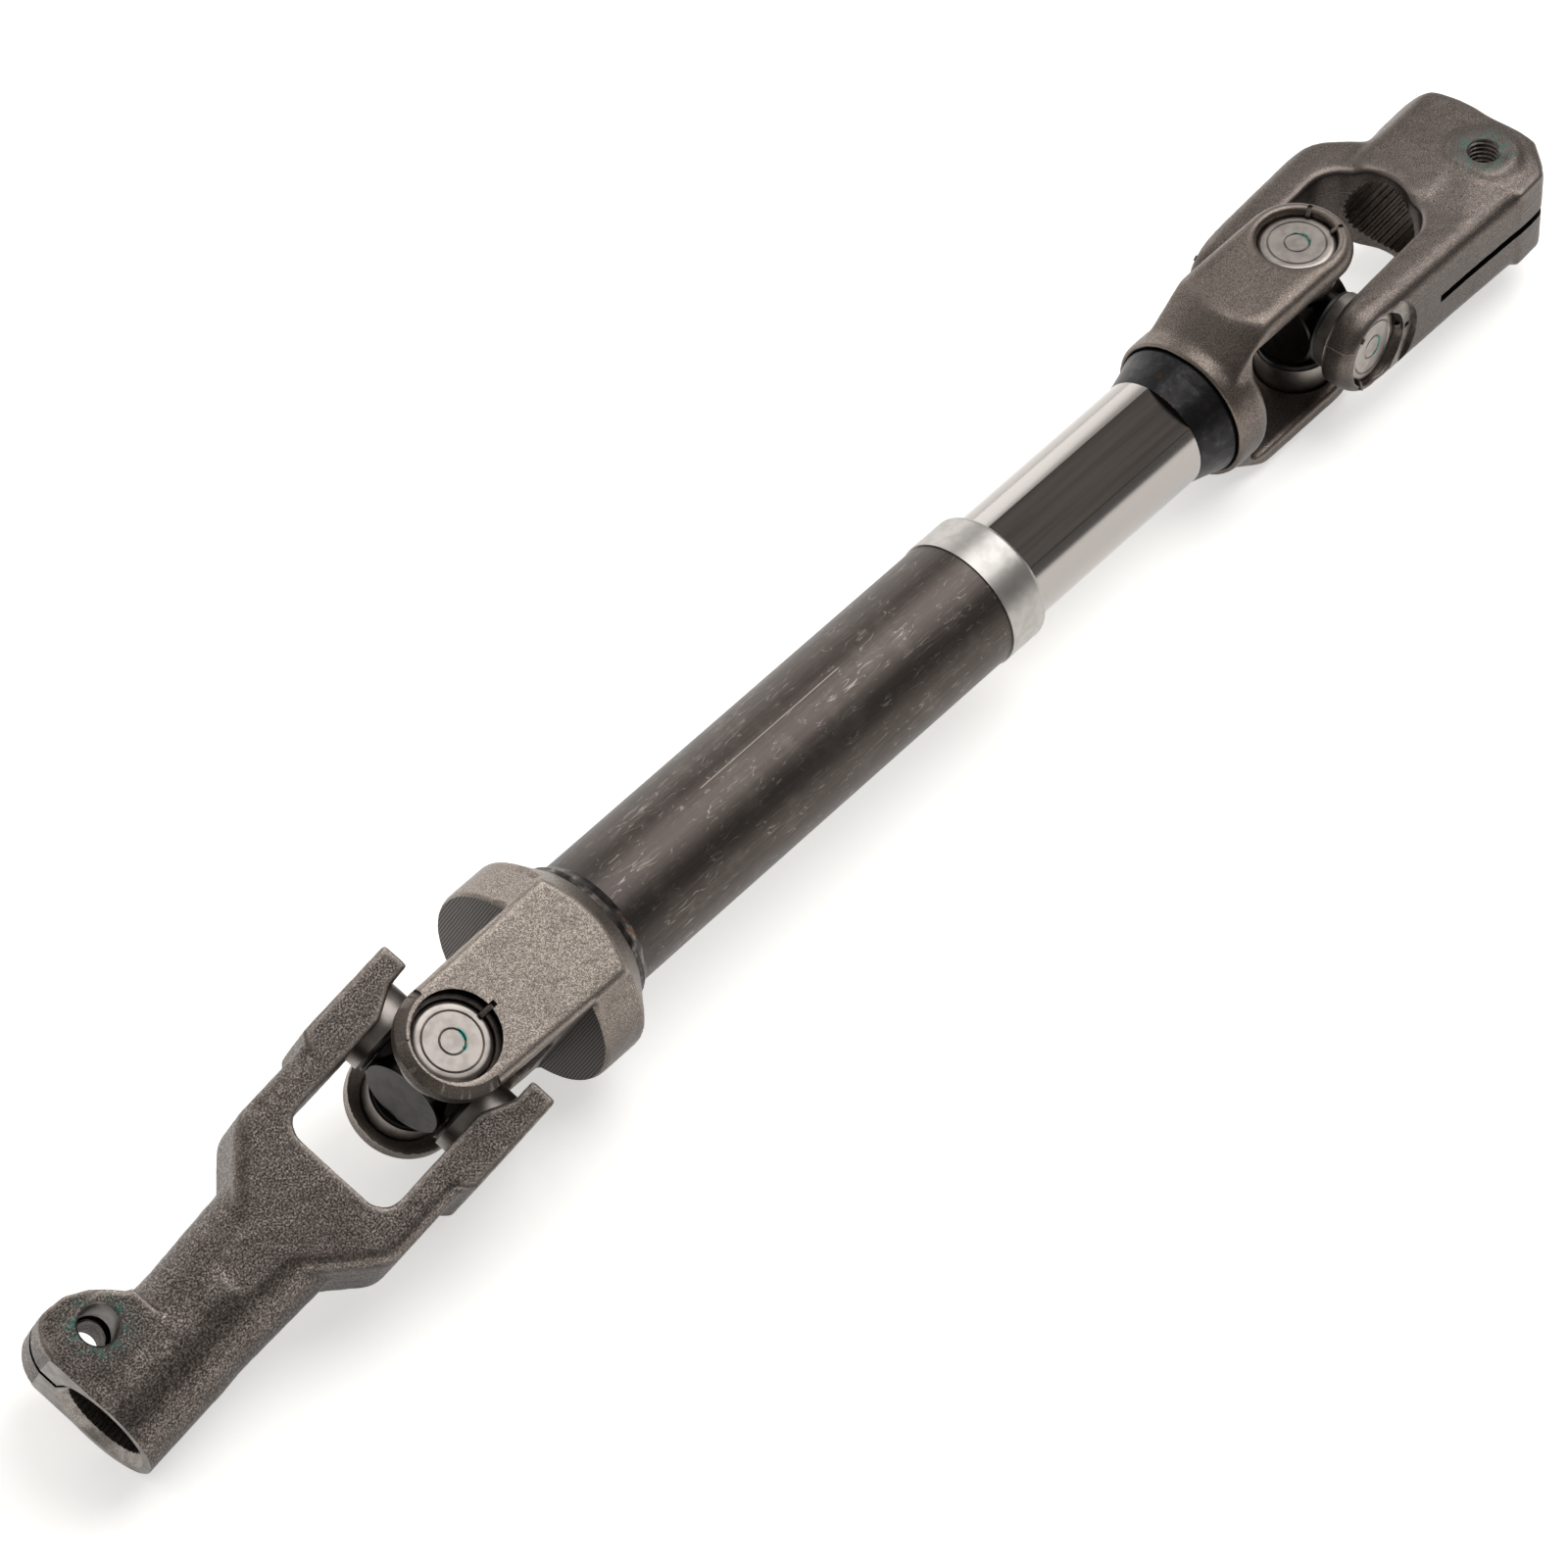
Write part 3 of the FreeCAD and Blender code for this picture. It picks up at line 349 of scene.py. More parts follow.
@dataclass(frozen=True)
class CutSteel(Finish):
    """Bare carbon steel left by a cutter: lighter than the forging's skin, with fine tool marks."""

    dark: str = "5f5954"
    light: str = "8f8883"
    # A broach or a drill leaves marks under 0.1 mm. They are drawn coarser, so that they show in a picture.
    line_mm: float = 0.25
    patch_mm: float = 3.0
    roughness: float = 0.36
    patchiness: float = 1.0
    hatch_mm: float | None = None

    def pattern(self, tree: bpy.types.NodeTree, here: bpy.types.Node) -> Inputs:
        """Patches of light and dark with tool marks, or with a saw's hatching where the finish has it.

        Args:
            tree: Node tree of the material.
            here: Node with the coordinates in metres in the piece's own frame.

        Returns:
            The shader's inputs.
        """
        lines = add(tree, "TexNoise", {"Vector": here, "Scale": per(self.line_mm), "Detail": 1.0})
        if self.hatch_mm is not None:
            # A wave texture has 20 / tau bands in each unit of its scaled coordinates.
            wave = {"Vector": here, "Scale": per(self.hatch_mm) * math.tau / 20}
            wave |= {"Distortion": 1.5, "Detail": 2.0, "Detail Scale": 0.6}
            lines = add(tree, "TexWave", wave, bands_direction="Y").outputs["Fac"]
        patches = add(tree, "TexNoise", {"Vector": here, "Scale": per(self.patch_mm), "Detail": 2.0})
        both = add(tree, "Math", {0: patches, 1: self.patchiness, 2: lines}, operation="MULTIPLY_ADD")
        middle = 0.5 + 0.5 * self.patchiness
        return {
            "Base Color": layered(
                tree, linear(self.dark), Layer(both, middle - 0.25, middle + 0.25, 1.0, self.light)
            ),
            "Roughness": self.roughness,
            "Normal": add(tree, "Bump", {"Height": lines, "Distance": 0.02 * MM, "Strength": 0.6}),
        }


@dataclass(frozen=True)
class DrawnTube(Finish):
    """Cold drawn steel tube, dark from its drawing soap and oil, with long soft streaks and a blued end."""

    dark: str = "4e4844"
    middle: str = "544d49"
    light: str = "a19993"
    blued: str = "3e3b3c"
    weld_at: float = 46.0 * MM
    blued_length: float = 14.0 * MM
    radius: float = 15.0 * MM
    streak_mm: float = 0.8
    mottle_mm: float = 7.0
    fine_mm: float = 0.5
    # Each family of fine scratches has an angle in degrees and a spacing in millimetres.
    scratches: tuple[tuple[float, float], ...] = ((4, 2.4), (-11, 1.8), (34, 3.0), (-41, 2.6), (80, 3.4))
    scratch_width: float = 0.006
    long_scratch_deg: float = 22.5
    long_scratch: tuple[float, float] = (80.0 * MM, 123.0 * MM)

    def pattern(self, tree: bpy.types.NodeTree, here: bpy.types.Node) -> Inputs:
        """Streaks along the tube, a mottle, the blued end, fine scratches and one long one.

        Args:
            tree: Node tree of the material.
            here: Node with the coordinates in metres in the piece's own frame.

        Returns:
            The shader's inputs.
        """
        drawn = add(tree, "Mapping", {"Vector": here, "Scale": (0.04, 1.0, 1.0)})
        streaks = add(tree, "TexNoise", {"Vector": drawn, "Scale": per(self.streak_mm), "Detail": 3.0})
        mottle = add(tree, "TexNoise", {"Vector": here, "Scale": per(self.mottle_mm), "Detail": 4.0})
        fine = add(tree, "TexNoise", {"Vector": here, "Scale": per(self.fine_mm), "Detail": 3.0})
        parts = add(tree, "SeparateXYZ", {"Vector": here}).outputs
        along = parts["X"]
        colour = layered(
            tree,
            linear(self.dark),
            Layer(streaks, 0.35, 0.65, 1.0, self.middle),
            Layer(mottle, 0.5, 0.75, 0.1, self.light),
            Layer(along, self.weld_at + self.blued_length, self.weld_at, 0.4, self.blued),
        )
        turn = add(tree, "Math", {0: parts["Y"], 1: parts["Z"]}, operation="ARCTAN2")
        arc = add(tree, "Math", {0: turn, 1: self.radius}, operation="MULTIPLY")
        rolled_out = add(tree, "CombineXYZ", {"X": along, "Y": arc})
        masks = [self.family(tree, rolled_out, angle, size_mm) for angle, size_mm in self.scratches]
        masks.append(self.long_one(tree, turn, along))
        for mask in masks:
            colour = add(tree, "Mix", {0: mask, 6: colour, 7: linear(self.light)}, data_type="RGBA")
        return {
            "Base Color": colour,
            "Roughness": add(tree, "MapRange", {"Value": mottle, "To Min": 0.38, "To Max": 0.46}),
            "Normal": add(tree, "Bump", {"Height": fine, "Distance": 0.02 * MM, "Strength": 0.6}),
        }

    def family(
        self, tree: bpy.types.NodeTree, rolled_out: bpy.types.Node, angle: float, size_mm: float
    ) -> bpy.types.Node:
        """Mask of one family of fine scratches, worn away in patches.

        Args:
            tree: Node tree of the material.
            rolled_out: Node with the tube's wall laid flat.
            angle: Angle of the scratches in degrees.
            size_mm: Their spacing.

        Returns:
            The mask's node.
        """
        laid = {"Vector": rolled_out, "Rotation": (0, 0, math.radians(angle)), "Scale": (0.14, 1, 1)}
        spacing = {"Vector": add(tree, "Mapping", laid), "Scale": per(size_mm), "Detail": 2.0}
        hills, width = add(tree, "TexNoise", spacing), self.scratch_width
        line = contour(tree, hills, 0.5, width, width * 0.3)
        patch = {"Vector": rolled_out, "Scale": per(4.0 + abs(angle) / 12), "Detail": 4.0}
        worn = {"Value": add(tree, "TexNoise", patch), "From Min": 0.53, "From Max": 0.6, "To Max": 0.5}
        return product(tree, line, add(tree, "MapRange", worn, interpolation_type=SOFT))

    def long_one(
        self, tree: bpy.types.NodeTree, turn: bpy.types.Node, along: bpy.types.NodeSocket
    ) -> bpy.types.Node:
        """Mask of the one long scratch.

        Args:
            tree: Node tree of the material.
            turn: Node with the angle round the tube.
            along: Socket with the place along it.

        Returns:
            The mask's node.
        """
        start, end = self.long_scratch
        masks = [contour(tree, turn, math.radians(self.long_scratch_deg), 0.012, 0.005, 0.7)]
        for tip, full in ((start, start + MM), (end, end - MM)):
            span = {"Value": along, "From Min": tip, "From Max": full}
            masks.append(add(tree, "MapRange", span, interpolation_type=SOFT))
        return product(tree, *masks)


@dataclass(frozen=True)
class SatinSteel(Finish):
    """Turned and lightly tumbled steel: pale and even, with faint rings round its own X axis."""

    dark: str = "a8a4a0"
    light: str = "b2aeaa"
    # The tool's feed is about 0.1 mm a turn. It is drawn coarser, so that it shows in a picture.
    ring_mm: float = 0.3
    mark_mm: float = 2.5
    roughness: float = 0.4
    spread: float = 0.03

    def pattern(self, tree: bpy.types.NodeTree, here: bpy.types.Node) -> Inputs:
        """Fine turning rings in the relief, with soft marks in colour and gloss.

        Args:
            tree: Node tree of the material.
            here: Node with the coordinates in metres in the piece's own frame.

        Returns:
            The shader's inputs.
        """
        rings = add(tree, "Mapping", {"Vector": here, "Scale": (1.0, 0.03, 0.03)})
        turning = add(tree, "TexNoise", {"Vector": rings, "Scale": per(self.ring_mm), "Detail": 2.0})
        marks = add(tree, "TexNoise", {"Vector": here, "Scale": per(self.mark_mm), "Detail": 5.0})
        dull, bright = self.roughness + self.spread, self.roughness - self.spread
        return {
            "Base Color": layered(tree, linear(self.dark), Layer(marks, 0.35, 0.6, 1.0, self.light)),
            "Roughness": add(tree, "MapRange", {"Value": marks, "To Min": dull, "To Max": bright}),
            "Normal": add(tree, "Bump", {"Height": turning, "Distance": 0.01 * MM, "Strength": 0.5}),
        }


@dataclass(frozen=True)
class PolishedBar(Finish):
    """Ground and polished bar: mirror bright where it was ground, dark and matt on its two milled flats."""

    bright: str = "a7a29e"
    flat: str = "2a2725"
    flat_light: str = "332f2c"
    flat_height: float = 11.62 * MM
    streak_mm: float = 1.6
    roughness: float = 0.17
    flat_roughness: float = 0.36

    def pattern(self, tree: bpy.types.NodeTree, here: bpy.types.Node) -> Inputs:
        """Bright round sides, and flats told from them by their height.

        Args:
            tree: Node tree of the material.
            here: Node with the coordinates in metres in the piece's own frame.

        Returns:
            The shader's inputs.
        """
        up = add(tree, "SeparateXYZ", {"Vector": here}).outputs["Z"]
        height = add(tree, "Math", {0: up}, operation="ABSOLUTE")
        level = self.flat_height
        edge = {"Value": height, "From Min": level - 0.1 * MM, "From Max": level - 0.02 * MM}
        side = add(tree, "Math", {0: height, 1: level + 0.06 * MM}, operation="LESS_THAN")
        flats = product(tree, add(tree, "MapRange", edge, interpolation_type=SOFT), side)
        drawn = add(tree, "Mapping", {"Vector": here, "Scale": (0.03, 1.0, 1.0)})
        streaks = add(tree, "TexNoise", {"Vector": drawn, "Scale": per(self.streak_mm), "Detail": 2.0})
        dull = layered(tree, linear(self.flat), Layer(streaks, 0.3, 0.7, 1.0, self.flat_light))
        gloss = {"Value": flats, "To Min": self.roughness, "To Max": self.flat_roughness}
        return {
            "Base Color": add(tree, "Mix", {0: flats, 6: linear(self.bright), 7: dull}, data_type="RGBA"),
            "Roughness": add(tree, "MapRange", gloss),
        }


@dataclass(frozen=True)
class MottledWeld(Finish):
    """A welding bead: dark scale, brown heat stains and small silvery spots on its ripples."""

    dark: str = "2b2827"
    middle: str = "4b4643"
    silver: str = "8d8783"
    rust: str = "8a5a33"
    patch_mm: float = 2.4
    spot_mm: float = 3.4
    spot_share: float = 0.6

    def pattern(self, tree: bpy.types.NodeTree, here: bpy.types.Node) -> Inputs:
        """Scale and silver in patches, with rusty spots over them.

        Args:
            tree: Node tree of the material.
            here: Node with the coordinates in metres in the piece's own frame.

        Returns:
            The shader's inputs.
        """
        patches = add(tree, "TexNoise", {"Vector": here, "Scale": per(self.patch_mm), "Detail": 4.0})
        spots = add(tree, "TexNoise", {"Vector": here, "Scale": per(self.spot_mm), "Detail": 3.0})
        stops = ((0.38, linear(self.dark)), (0.58, linear(self.middle)), (0.74, linear(self.silver)))
        scale = add(tree, "ValToRGB", {"Fac": patches}, stops)
        return {
            "Base Color": layered(tree, scale, Layer(spots, 0.64, 0.7, self.spot_share, self.rust)),
            "Roughness": 0.4,
            "Normal": add(tree, "Bump", {"Height": patches, "Distance": 0.15 * MM, "Strength": 0.8}),
        }


@dataclass(frozen=True)
class Moulding(Finish):
    """What the moulded pieces share: one colour, with a film of dust or grease in soft clouds."""

    metallic: float = 0.0
    colour: str = "1b1918"
    tint: str = "3a3633"
    cloud_mm: float = 1.2
    detail: float = 3.0
    levels: tuple[float, float] = (0.55, 0.75)
    roughness: float = 0.42

    def pattern(self, tree: bpy.types.NodeTree, here: bpy.types.Node) -> Inputs:
        """The piece's colour and the film's clouds.

        Args:
            tree: Node tree of the material.
            here: Node with the coordinates in metres in the piece's own frame.

        Returns:
            The shader's inputs.
        """
        clouds = add(tree, "TexNoise", {"Vector": here, "Scale": per(self.cloud_mm), "Detail": self.detail})
        tint = Layer(clouds, *self.levels, 1.0, self.tint)
        return {"Base Color": layered(tree, linear(self.colour), tint), "Roughness": self.roughness}


@dataclass(frozen=True)
class SealRubber(Moulding):
    """Nitrile rubber of a lip seal: black, faintly shiny with grease."""


@dataclass(frozen=True)
class MouldedLiner(Moulding):
    """Moulded acetal of the slide liner: off white, slightly glossy."""

    colour: str = "d9d2c3"
    tint: str = "a99f8b"
    cloud_mm: float = 5.0
    detail: float = 2.0
    levels: tuple[float, float] = (0.5, 0.8)
    roughness: float = 0.45


@dataclass(frozen=True)
class PressedCup(Finish):
    """The drawn and hardened face of a bearing cup: pale satin steel with a trace of teal paint."""

    dark: str = "8f8883"
    light: str = "a29b95"
    paint: str = "1f7f74"
    face_at: float = 20.0 * MM
    centre_ring: float = 2.69 * MM
    paint_turn: float = 0.0
    fine_mm: float = 0.35
    cloud_mm: float = 3.0

    def pattern(self, tree: bpy.types.NodeTree, here: bpy.types.Node) -> Inputs:
        """Soft clouds and fine specks, with the paint left in one side of the centre ring.

        Args:
            tree: Node tree of the material.
            here: Node with the coordinates in metres in the piece's own frame.

        Returns:
            The shader's inputs.
        """
        fine = add(tree, "TexNoise", {"Vector": here, "Scale": per(self.fine_mm), "Detail": 2.0})
        cloud = add(tree, "TexNoise", {"Vector": here, "Scale": per(self.cloud_mm), "Detail": 3.0})
        colour = layered(
            tree,
            linear(self.dark),
            Layer(cloud, 0.35, 0.65, 1.0, self.light),
            Layer(fine, 0.6, 0.8, 0.4, self.light),
        )
        trace = self.trace(tree, here)
        return {
            "Base Color": add(tree, "Mix", {0: trace, 6: colour, 7: linear(self.paint)}, data_type="RGBA"),
            "Roughness": 0.36,
            "Normal": add(tree, "Bump", {"Height": fine, "Distance": 0.012 * MM, "Strength": 0.5}),
        }

    def trace(self, tree: bpy.types.NodeTree, here: bpy.types.Node) -> bpy.types.Node:
        """Mask of the paint in the centre ring.

        Args:
            tree: Node tree of the material.
            here: Node with the coordinates in metres in the piece's own frame.

        Returns:
            The mask's node.
        """
        apart = add(tree, "SeparateXYZ", {"Vector": here}).outputs
        flat = add(tree, "CombineXYZ", {"X": apart["X"], "Y": apart["Y"]})
        reach = add(tree, "VectorMath", {0: flat}, operation="LENGTH")
        turned = add(tree, "VectorRotate", {"Vector": flat, "Angle": self.paint_turn}, rotation_type="Z_AXIS")
        ahead = add(tree, "SeparateXYZ", {"Vector": turned}).outputs["X"]
        broken = add(tree, "TexNoise", {"Vector": here, "Scale": per(1.1), "Detail": 2.0})
        masks = [contour(tree, reach, self.centre_ring, 0.75 * MM, 0.3 * MM, 0.85)]
        for value, start, end in (
            (ahead, 0.8 * MM, 2.0 * MM),
            (broken, 0.4, 0.55),
            (apart["Z"], self.face_at - 0.6 * MM, self.face_at - 0.4 * MM),
        ):
            span = {"Value": value, "From Min": start, "From Max": end}
            masks.append(add(tree, "MapRange", span, interpolation_type=SOFT))
        return product(tree, *masks)


def deselect() -> None:
    """Leave nothing selected."""
    bpy.ops.object.select_all(action="DESELECT")


def choose(*objects: bpy.types.Object) -> bpy.types.Object:
    """Select some objects and nothing else.

    Args:
        *objects: The objects. The first becomes the active one.

    Returns:
        The active object.
    """
    deselect()
    for item in objects:
        item.select_set(True)
    bpy.context.view_layer.objects.active = objects[0]
    return objects[0]


@contextmanager
def editing(piece: bpy.types.Object) -> Iterator[None]:
    """Work on one object in edit mode with all of it selected.

    Args:
        piece: The object.

    Yields:
        Nothing, while edit mode lasts.
    """
    choose(piece)
    bpy.ops.object.mode_set(mode="EDIT")
    bpy.ops.mesh.select_all(action="SELECT")
    yield
    bpy.ops.object.mode_set(mode="OBJECT")


def modify(piece: bpy.types.Object, kind: str, **settings: object) -> None:
    """Add a modifier to a piece and apply it.

    Args:
        piece: Object that is shaped.
        kind: Blender's name for the modifier.
        **settings: The modifier's settings.
    """
    choose(piece)
    modifier = piece.modifiers.new(kind.title(), kind)
    for key, value in settings.items():
        setattr(modifier, key, value)
    bpy.ops.object.modifier_apply(modifier=modifier.name)


def join(pieces: Sequence[bpy.types.Object]) -> bpy.types.Object:
    """Make several objects one.

    Args:
        pieces: Objects to join. The first keeps its name.

    Returns:
        The joined object.
    """
    choose(*pieces)
    if len(pieces) > 1:
        bpy.ops.object.join()
    return pieces[0]


def made(
    name: str,
    points: Sequence[tuple[float, float, float]],
    edges: Sequence[tuple[int, int]] = (),
    faces: Sequence[Sequence[int]] = (),
) -> bpy.types.Object:
    """Make an object of points, edges and faces.

    Args:
        name: Name of the new object.
        points: Its points, in millimetres.
        edges: Pairs of points.
        faces: Rings of points.

    Returns:
        The new object.
    """
    mesh = bpy.data.meshes.new(name)
    mesh.from_pydata(list(points), list(edges), list(faces))
    body = bpy.data.objects.new(name, mesh)
    bpy.context.collection.objects.link(body)
    return body


def face_outwards() -> None:
    """Turn all faces of the body in edit mode outwards."""
    bpy.ops.mesh.select_all(action="SELECT")
    bpy.ops.mesh.normals_make_consistent(inside=False)


def lathe(name: str, profile: Sequence[tuple[float, float]], steps: int = 96) -> bpy.types.Object:
    """Spin a profile about X into a closed body.

    Args:
        name: Name of the new object.
        profile: Places along X with their radii, in millimetres. The ends are on the axis.
        steps: Facets in a full turn.

    Returns:
        The body, in millimetres.
    """
    points = [(along, 0.0, radius) for along, radius in profile]
    body = made(name, points, [(i, i + 1) for i in range(len(points) - 1)])
    with editing(body):
        bpy.ops.mesh.spin(steps=steps, angle=math.tau, center=(0, 0, 0), axis=(1, 0, 0))
        bpy.ops.mesh.select_all(action="SELECT")
        bpy.ops.mesh.remove_doubles(threshold=POLE_GAP)
        bpy.ops.mesh.normals_make_consistent(inside=False)
    return body


def peg(name: str, low: float, high: float, radius: float, steps: int) -> bpy.types.Object:
    """A round bar about X between two places, in millimetres, used as a cutter or a plug."""
    return lathe(name, ((low, 0), (low, radius), (high, radius), (high, 0)), steps)


def bar(name: str, low: Sequence[float], high: Sequence[float]) -> bpy.types.Object:
    """A straight block between two corners, used as a cutter or a plug.

    Args:
        name: Name of the new object.
        low: Its lowest corner, in millimetres.
        high: Its highest corner, in millimetres.

    Returns:
        The block, in millimetres.
    """
    centre = [(a + b) / 2 for a, b in zip(low, high)]
    spans = [b - a for a, b in zip(low, high)]
    deselect()
    bpy.ops.mesh.primitive_cube_add(size=1, location=centre, scale=spans)
    block = bpy.context.object
    block.name = name
    bpy.ops.object.transform_apply(location=True, rotation=True, scale=True)
    return block


def prism(name: str, outline: Sequence[tuple[float, float]], low: float, high: float) -> bpy.types.Object:
    """A straight body between two heights.

    Args:
        name: Name of the new object.
        outline: Its corners in X and Y, in millimetres.
        low: Height of its foot.
        high: Height of its top.

    Returns:
        The body, in millimetres.
    """
    body = made(name, [(x, y, low) for x, y in outline], faces=[range(len(outline))])
    with editing(body):
        bpy.ops.mesh.extrude_region_move(TRANSFORM_OT_translate={"value": (0, 0, high - low)})
        face_outwards()
    return body


def hull(name: str, points: Sequence[tuple[float, float, float]]) -> bpy.types.Object:
    """The tightest body round some points.

    Args:
        name: Name of the new object.
        points: The points, in millimetres.

    Returns:
        The body, in millimetres.
    """
    body = made(name, points)
    with editing(body):
        bpy.ops.mesh.convex_hull()
        face_outwards()
    return body


def subtract(body: bpy.types.Object, tool: bpy.types.Object, **settings: object) -> bpy.types.Object:
    """Cut one closed body out of another and drop the tool.

    Args:
        body: The body that is cut.
        tool: The body that is taken away.
        **settings: More settings of the boolean modifier.

    Returns:
        The cut body.
    """
    modify(body, "BOOLEAN", operation="DIFFERENCE", object=tool, solver="MANIFOLD", **settings)
    bpy.data.objects.remove(tool)
    return body


def turned_to(piece: bpy.types.Object, matrix: Matrix) -> bpy.types.Object:
    """Move a piece's mesh by a matrix."""
    piece.data.transform(matrix)
    return piece


# Lathed bodies lie along X. These turn them to lie along Z and along Y.
UPRIGHT = Matrix.Rotation(-math.pi / 2, 4, "Y")
SIDEWAYS = Matrix.Rotation(math.pi / 2, 4, "Z")


def placed(centre: Sequence[float], along: Sequence[float], up: Sequence[float]) -> Matrix:
    """Frame with its X along a direction and its Z as near as can be to another.

    Args:
        centre: Origin in metres.
        along: Direction of X.
        up: Rough direction of Z.

    Returns:
        The frame as a matrix, in metres.
    """
    x = Vector(along).normalized()
    y = Vector(up).cross(x).normalized()
    z = x.cross(y)
    return Matrix([(x[i], y[i], z[i], centre[i]) for i in range(3)] + [(0, 0, 0, 1)])


@dataclass
class Assembly:
    """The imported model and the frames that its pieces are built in."""

    frame: dict
    flats_turn_deg: float = 22.3

    def __post_init__(self) -> None:
        """Read the joints and mounts, and work out each yoke's frame."""
        joints = {joint["name"]: joint for joint in self.frame["joints"]}
        mounts = {mount["name"]: mount for mount in self.frame["record"]["mounts"]}
        slide = Vector(joints["shaft_slide"]["axis"])
        lower = joints["lower_cross_turn"]
        upper = joints["upper_cross_turn"]
        self.tube = placed(lower["pos_m"], slide, lower["axis"])
        self.shaft_yoke = placed(upper["pos_m"], -slide, upper["axis"])
        bolt_up, bolt_down = (Vector(mounts[name]["axis"]) for name in ("lower_bolt_hole", "upper_bolt_hole"))
        self.lower_yoke = placed(lower["pos_m"], mounts["lower_spline_bore"]["axis"], bolt_up)
        self.upper_yoke = placed(upper["pos_m"], mounts["upper_spline_bore"]["axis"], -bolt_down)
        turn = Matrix.Rotation(math.radians(self.flats_turn_deg), 4, "X")
        self.flats = placed(lower["pos_m"], slide, (0, 0, 1)) @ turn

    def node(self, name: str) -> bpy.types.Object:
        """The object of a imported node."""
        return self.frame["nodes"][name]

    def dress(self, name: str, finish: bpy.types.Material) -> None:
        """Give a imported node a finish."""
        self.node(name).data.materials.clear()
        self.node(name).data.materials.append(finish)


@dataclass
class Forging:
    """A yoke: forged as a rough blank, then machined. Its sizes are in millimetres."""

    assembly: Assembly
    node: str
    body: str
    place: Matrix
    skin: bpy.types.Material
    cut: bpy.types.Material
    cell_mm: float = 0.42
    rounding: int = 6
    relief_mm: float = 0.12
    scale_mm: float = 3.0
    seat_radius: float = 8.75
    seat_chamfer: float = 0.3
    cup_face: float = 20.0
    merge_mm: float = 1e-3
    near_mm: float = 0.02
    packed_slit: float = 0.75
    closed_slit: float = 0.35
    crease_deg: float = 38.0
    cutters: list[tuple[bpy.types.Object, bpy.types.Material]] = field(default_factory=list)
    plugs: list[bpy.types.Object] = field(default_factory=list)
    trims: list[bpy.types.Object] = field(default_factory=list)
    lips: list[bpy.types.Object] = field(default_factory=list)
    faced: list[tuple[float, float]] = field(default_factory=list)
    slit_start: float | None = None

    def copied(self) -> bpy.types.Object:
        """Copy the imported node's mesh into the yoke's own frame, in millimetres, with room for machining."""
        mesh = self.assembly.node(self.node).data.copy()
        mesh.transform(Matrix.Scale(1 / MM, 4) @ self.place.inverted())
        copy = bpy.data.objects.new(self.node + "_forged", mesh)
        bpy.context.collection.objects.link(copy)
        with editing(copy):
            bpy.ops.mesh.remove_doubles(threshold=self.merge_mm)
        for vertex in mesh.vertices:
            spot = vertex.co
            for level, allowance in self.faced:
                if abs(spot.x - level) < self.near_mm:
                    spot.x += allowance
            # The slit's walls change sides, so that they overlap and the remesh closes the slit.
            if self.slit_start is not None and spot.x > self.slit_start - 0.05 and spot.y < 0.5:
                if abs(abs(spot.z) - self.packed_slit) < self.near_mm:
                    spot.z = -math.copysign(self.closed_slit, spot.z)
        return copy

    def forge(self) -> bpy.types.Object:
        """Fill what the cutters will open, then soften every edge as a forging die does."""
        blank = join([self.copied(), *self.plugs])
        modify(blank, "REMESH", mode="VOXEL", voxel_size=self.cell_mm)
        for tool in self.trims:
            subtract(blank, tool)
        if self.trims:
            modify(blank, "REMESH", mode="VOXEL", voxel_size=self.cell_mm)
        blank.data.materials.clear()
        modify(blank, "SMOOTH", factor=0.5, iterations=self.rounding)
        scale = bpy.data.textures.new(self.node + "_scale", "CLOUDS")
        scale.noise_scale = self.scale_mm
        relief = {"strength": self.relief_mm, "mid_level": 0.5, "texture_coords": "LOCAL"}
        modify(blank, "DISPLACE", texture=scale, **relief)
        return blank

    def machine(self) -> None:
        """Forge the blank, cut the machined features out of it and put the yoke in its place."""
        yoke = self.forge()
        # The bulge gives the finish its worn edges and its painted shade in hollows.
        mark_wear_and_shade(yoke)
        yoke.data.materials.append(self.skin)
        for tool, finish in self.cutters:
            tool.data.materials.clear()
            tool.data.materials.append(finish)
            subtract(yoke, tool, material_mode="TRANSFER")
        yoke = join([yoke, *self.lips])
        bpy.ops.object.shade_smooth_by_angle(angle=math.radians(self.crease_deg))
        yoke.data.transform(self.place @ Matrix.Scale(MM, 4))
        yoke.data.update()
        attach(yoke, self.body)
        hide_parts(self.node)
        LOG.info("%s: %d faces", yoke.name, len(yoke.data.polygons))

    def bore_cups(self, upright: bool, face: float) -> None:
        """Cut the two seats of the bearing cups.

        Args:
            upright: True where the cups lie along Z, else along Y.
            face: Half the distance over the arms.
        """
        radius, wide, over = self.seat_radius, self.seat_radius + self.seat_chamfer, face + 6
        half = ((face - 0.5, radius), (face - 0.2, wide), (over, wide), (over, 0))
        cutter = lathe(self.node + "_seats", [(-x, r) for x, r in reversed(half)] + list(half))
        self.cutters.append((turned_to(cutter, UPRIGHT if upright else SIDEWAYS), self.cut))

    def spot_face(
        self,
        arm: Matrix,
        centre: tuple[float, float],
        radius: float,
        level: float,
        finish: bpy.types.Material | None = None,
    ) -> None:
        """Mill a shallow round seat round a cup.

        Args:
            arm: Frame whose Z points out of the arm.
            centre: The cutter's centre across the arm.
            radius: The cutter's radius.
            level: Height of the milled face.
            finish: Its surface, where it isn't the yoke's own cut steel.
        """
        cutter = peg(self.node + "_spot", level, level + 9, radius, 128)
        turned_to(cutter, arm @ Matrix.Translation((centre[0], centre[1], 0)) @ UPRIGHT)
        self.cutters.append((cutter, finish or self.cut))

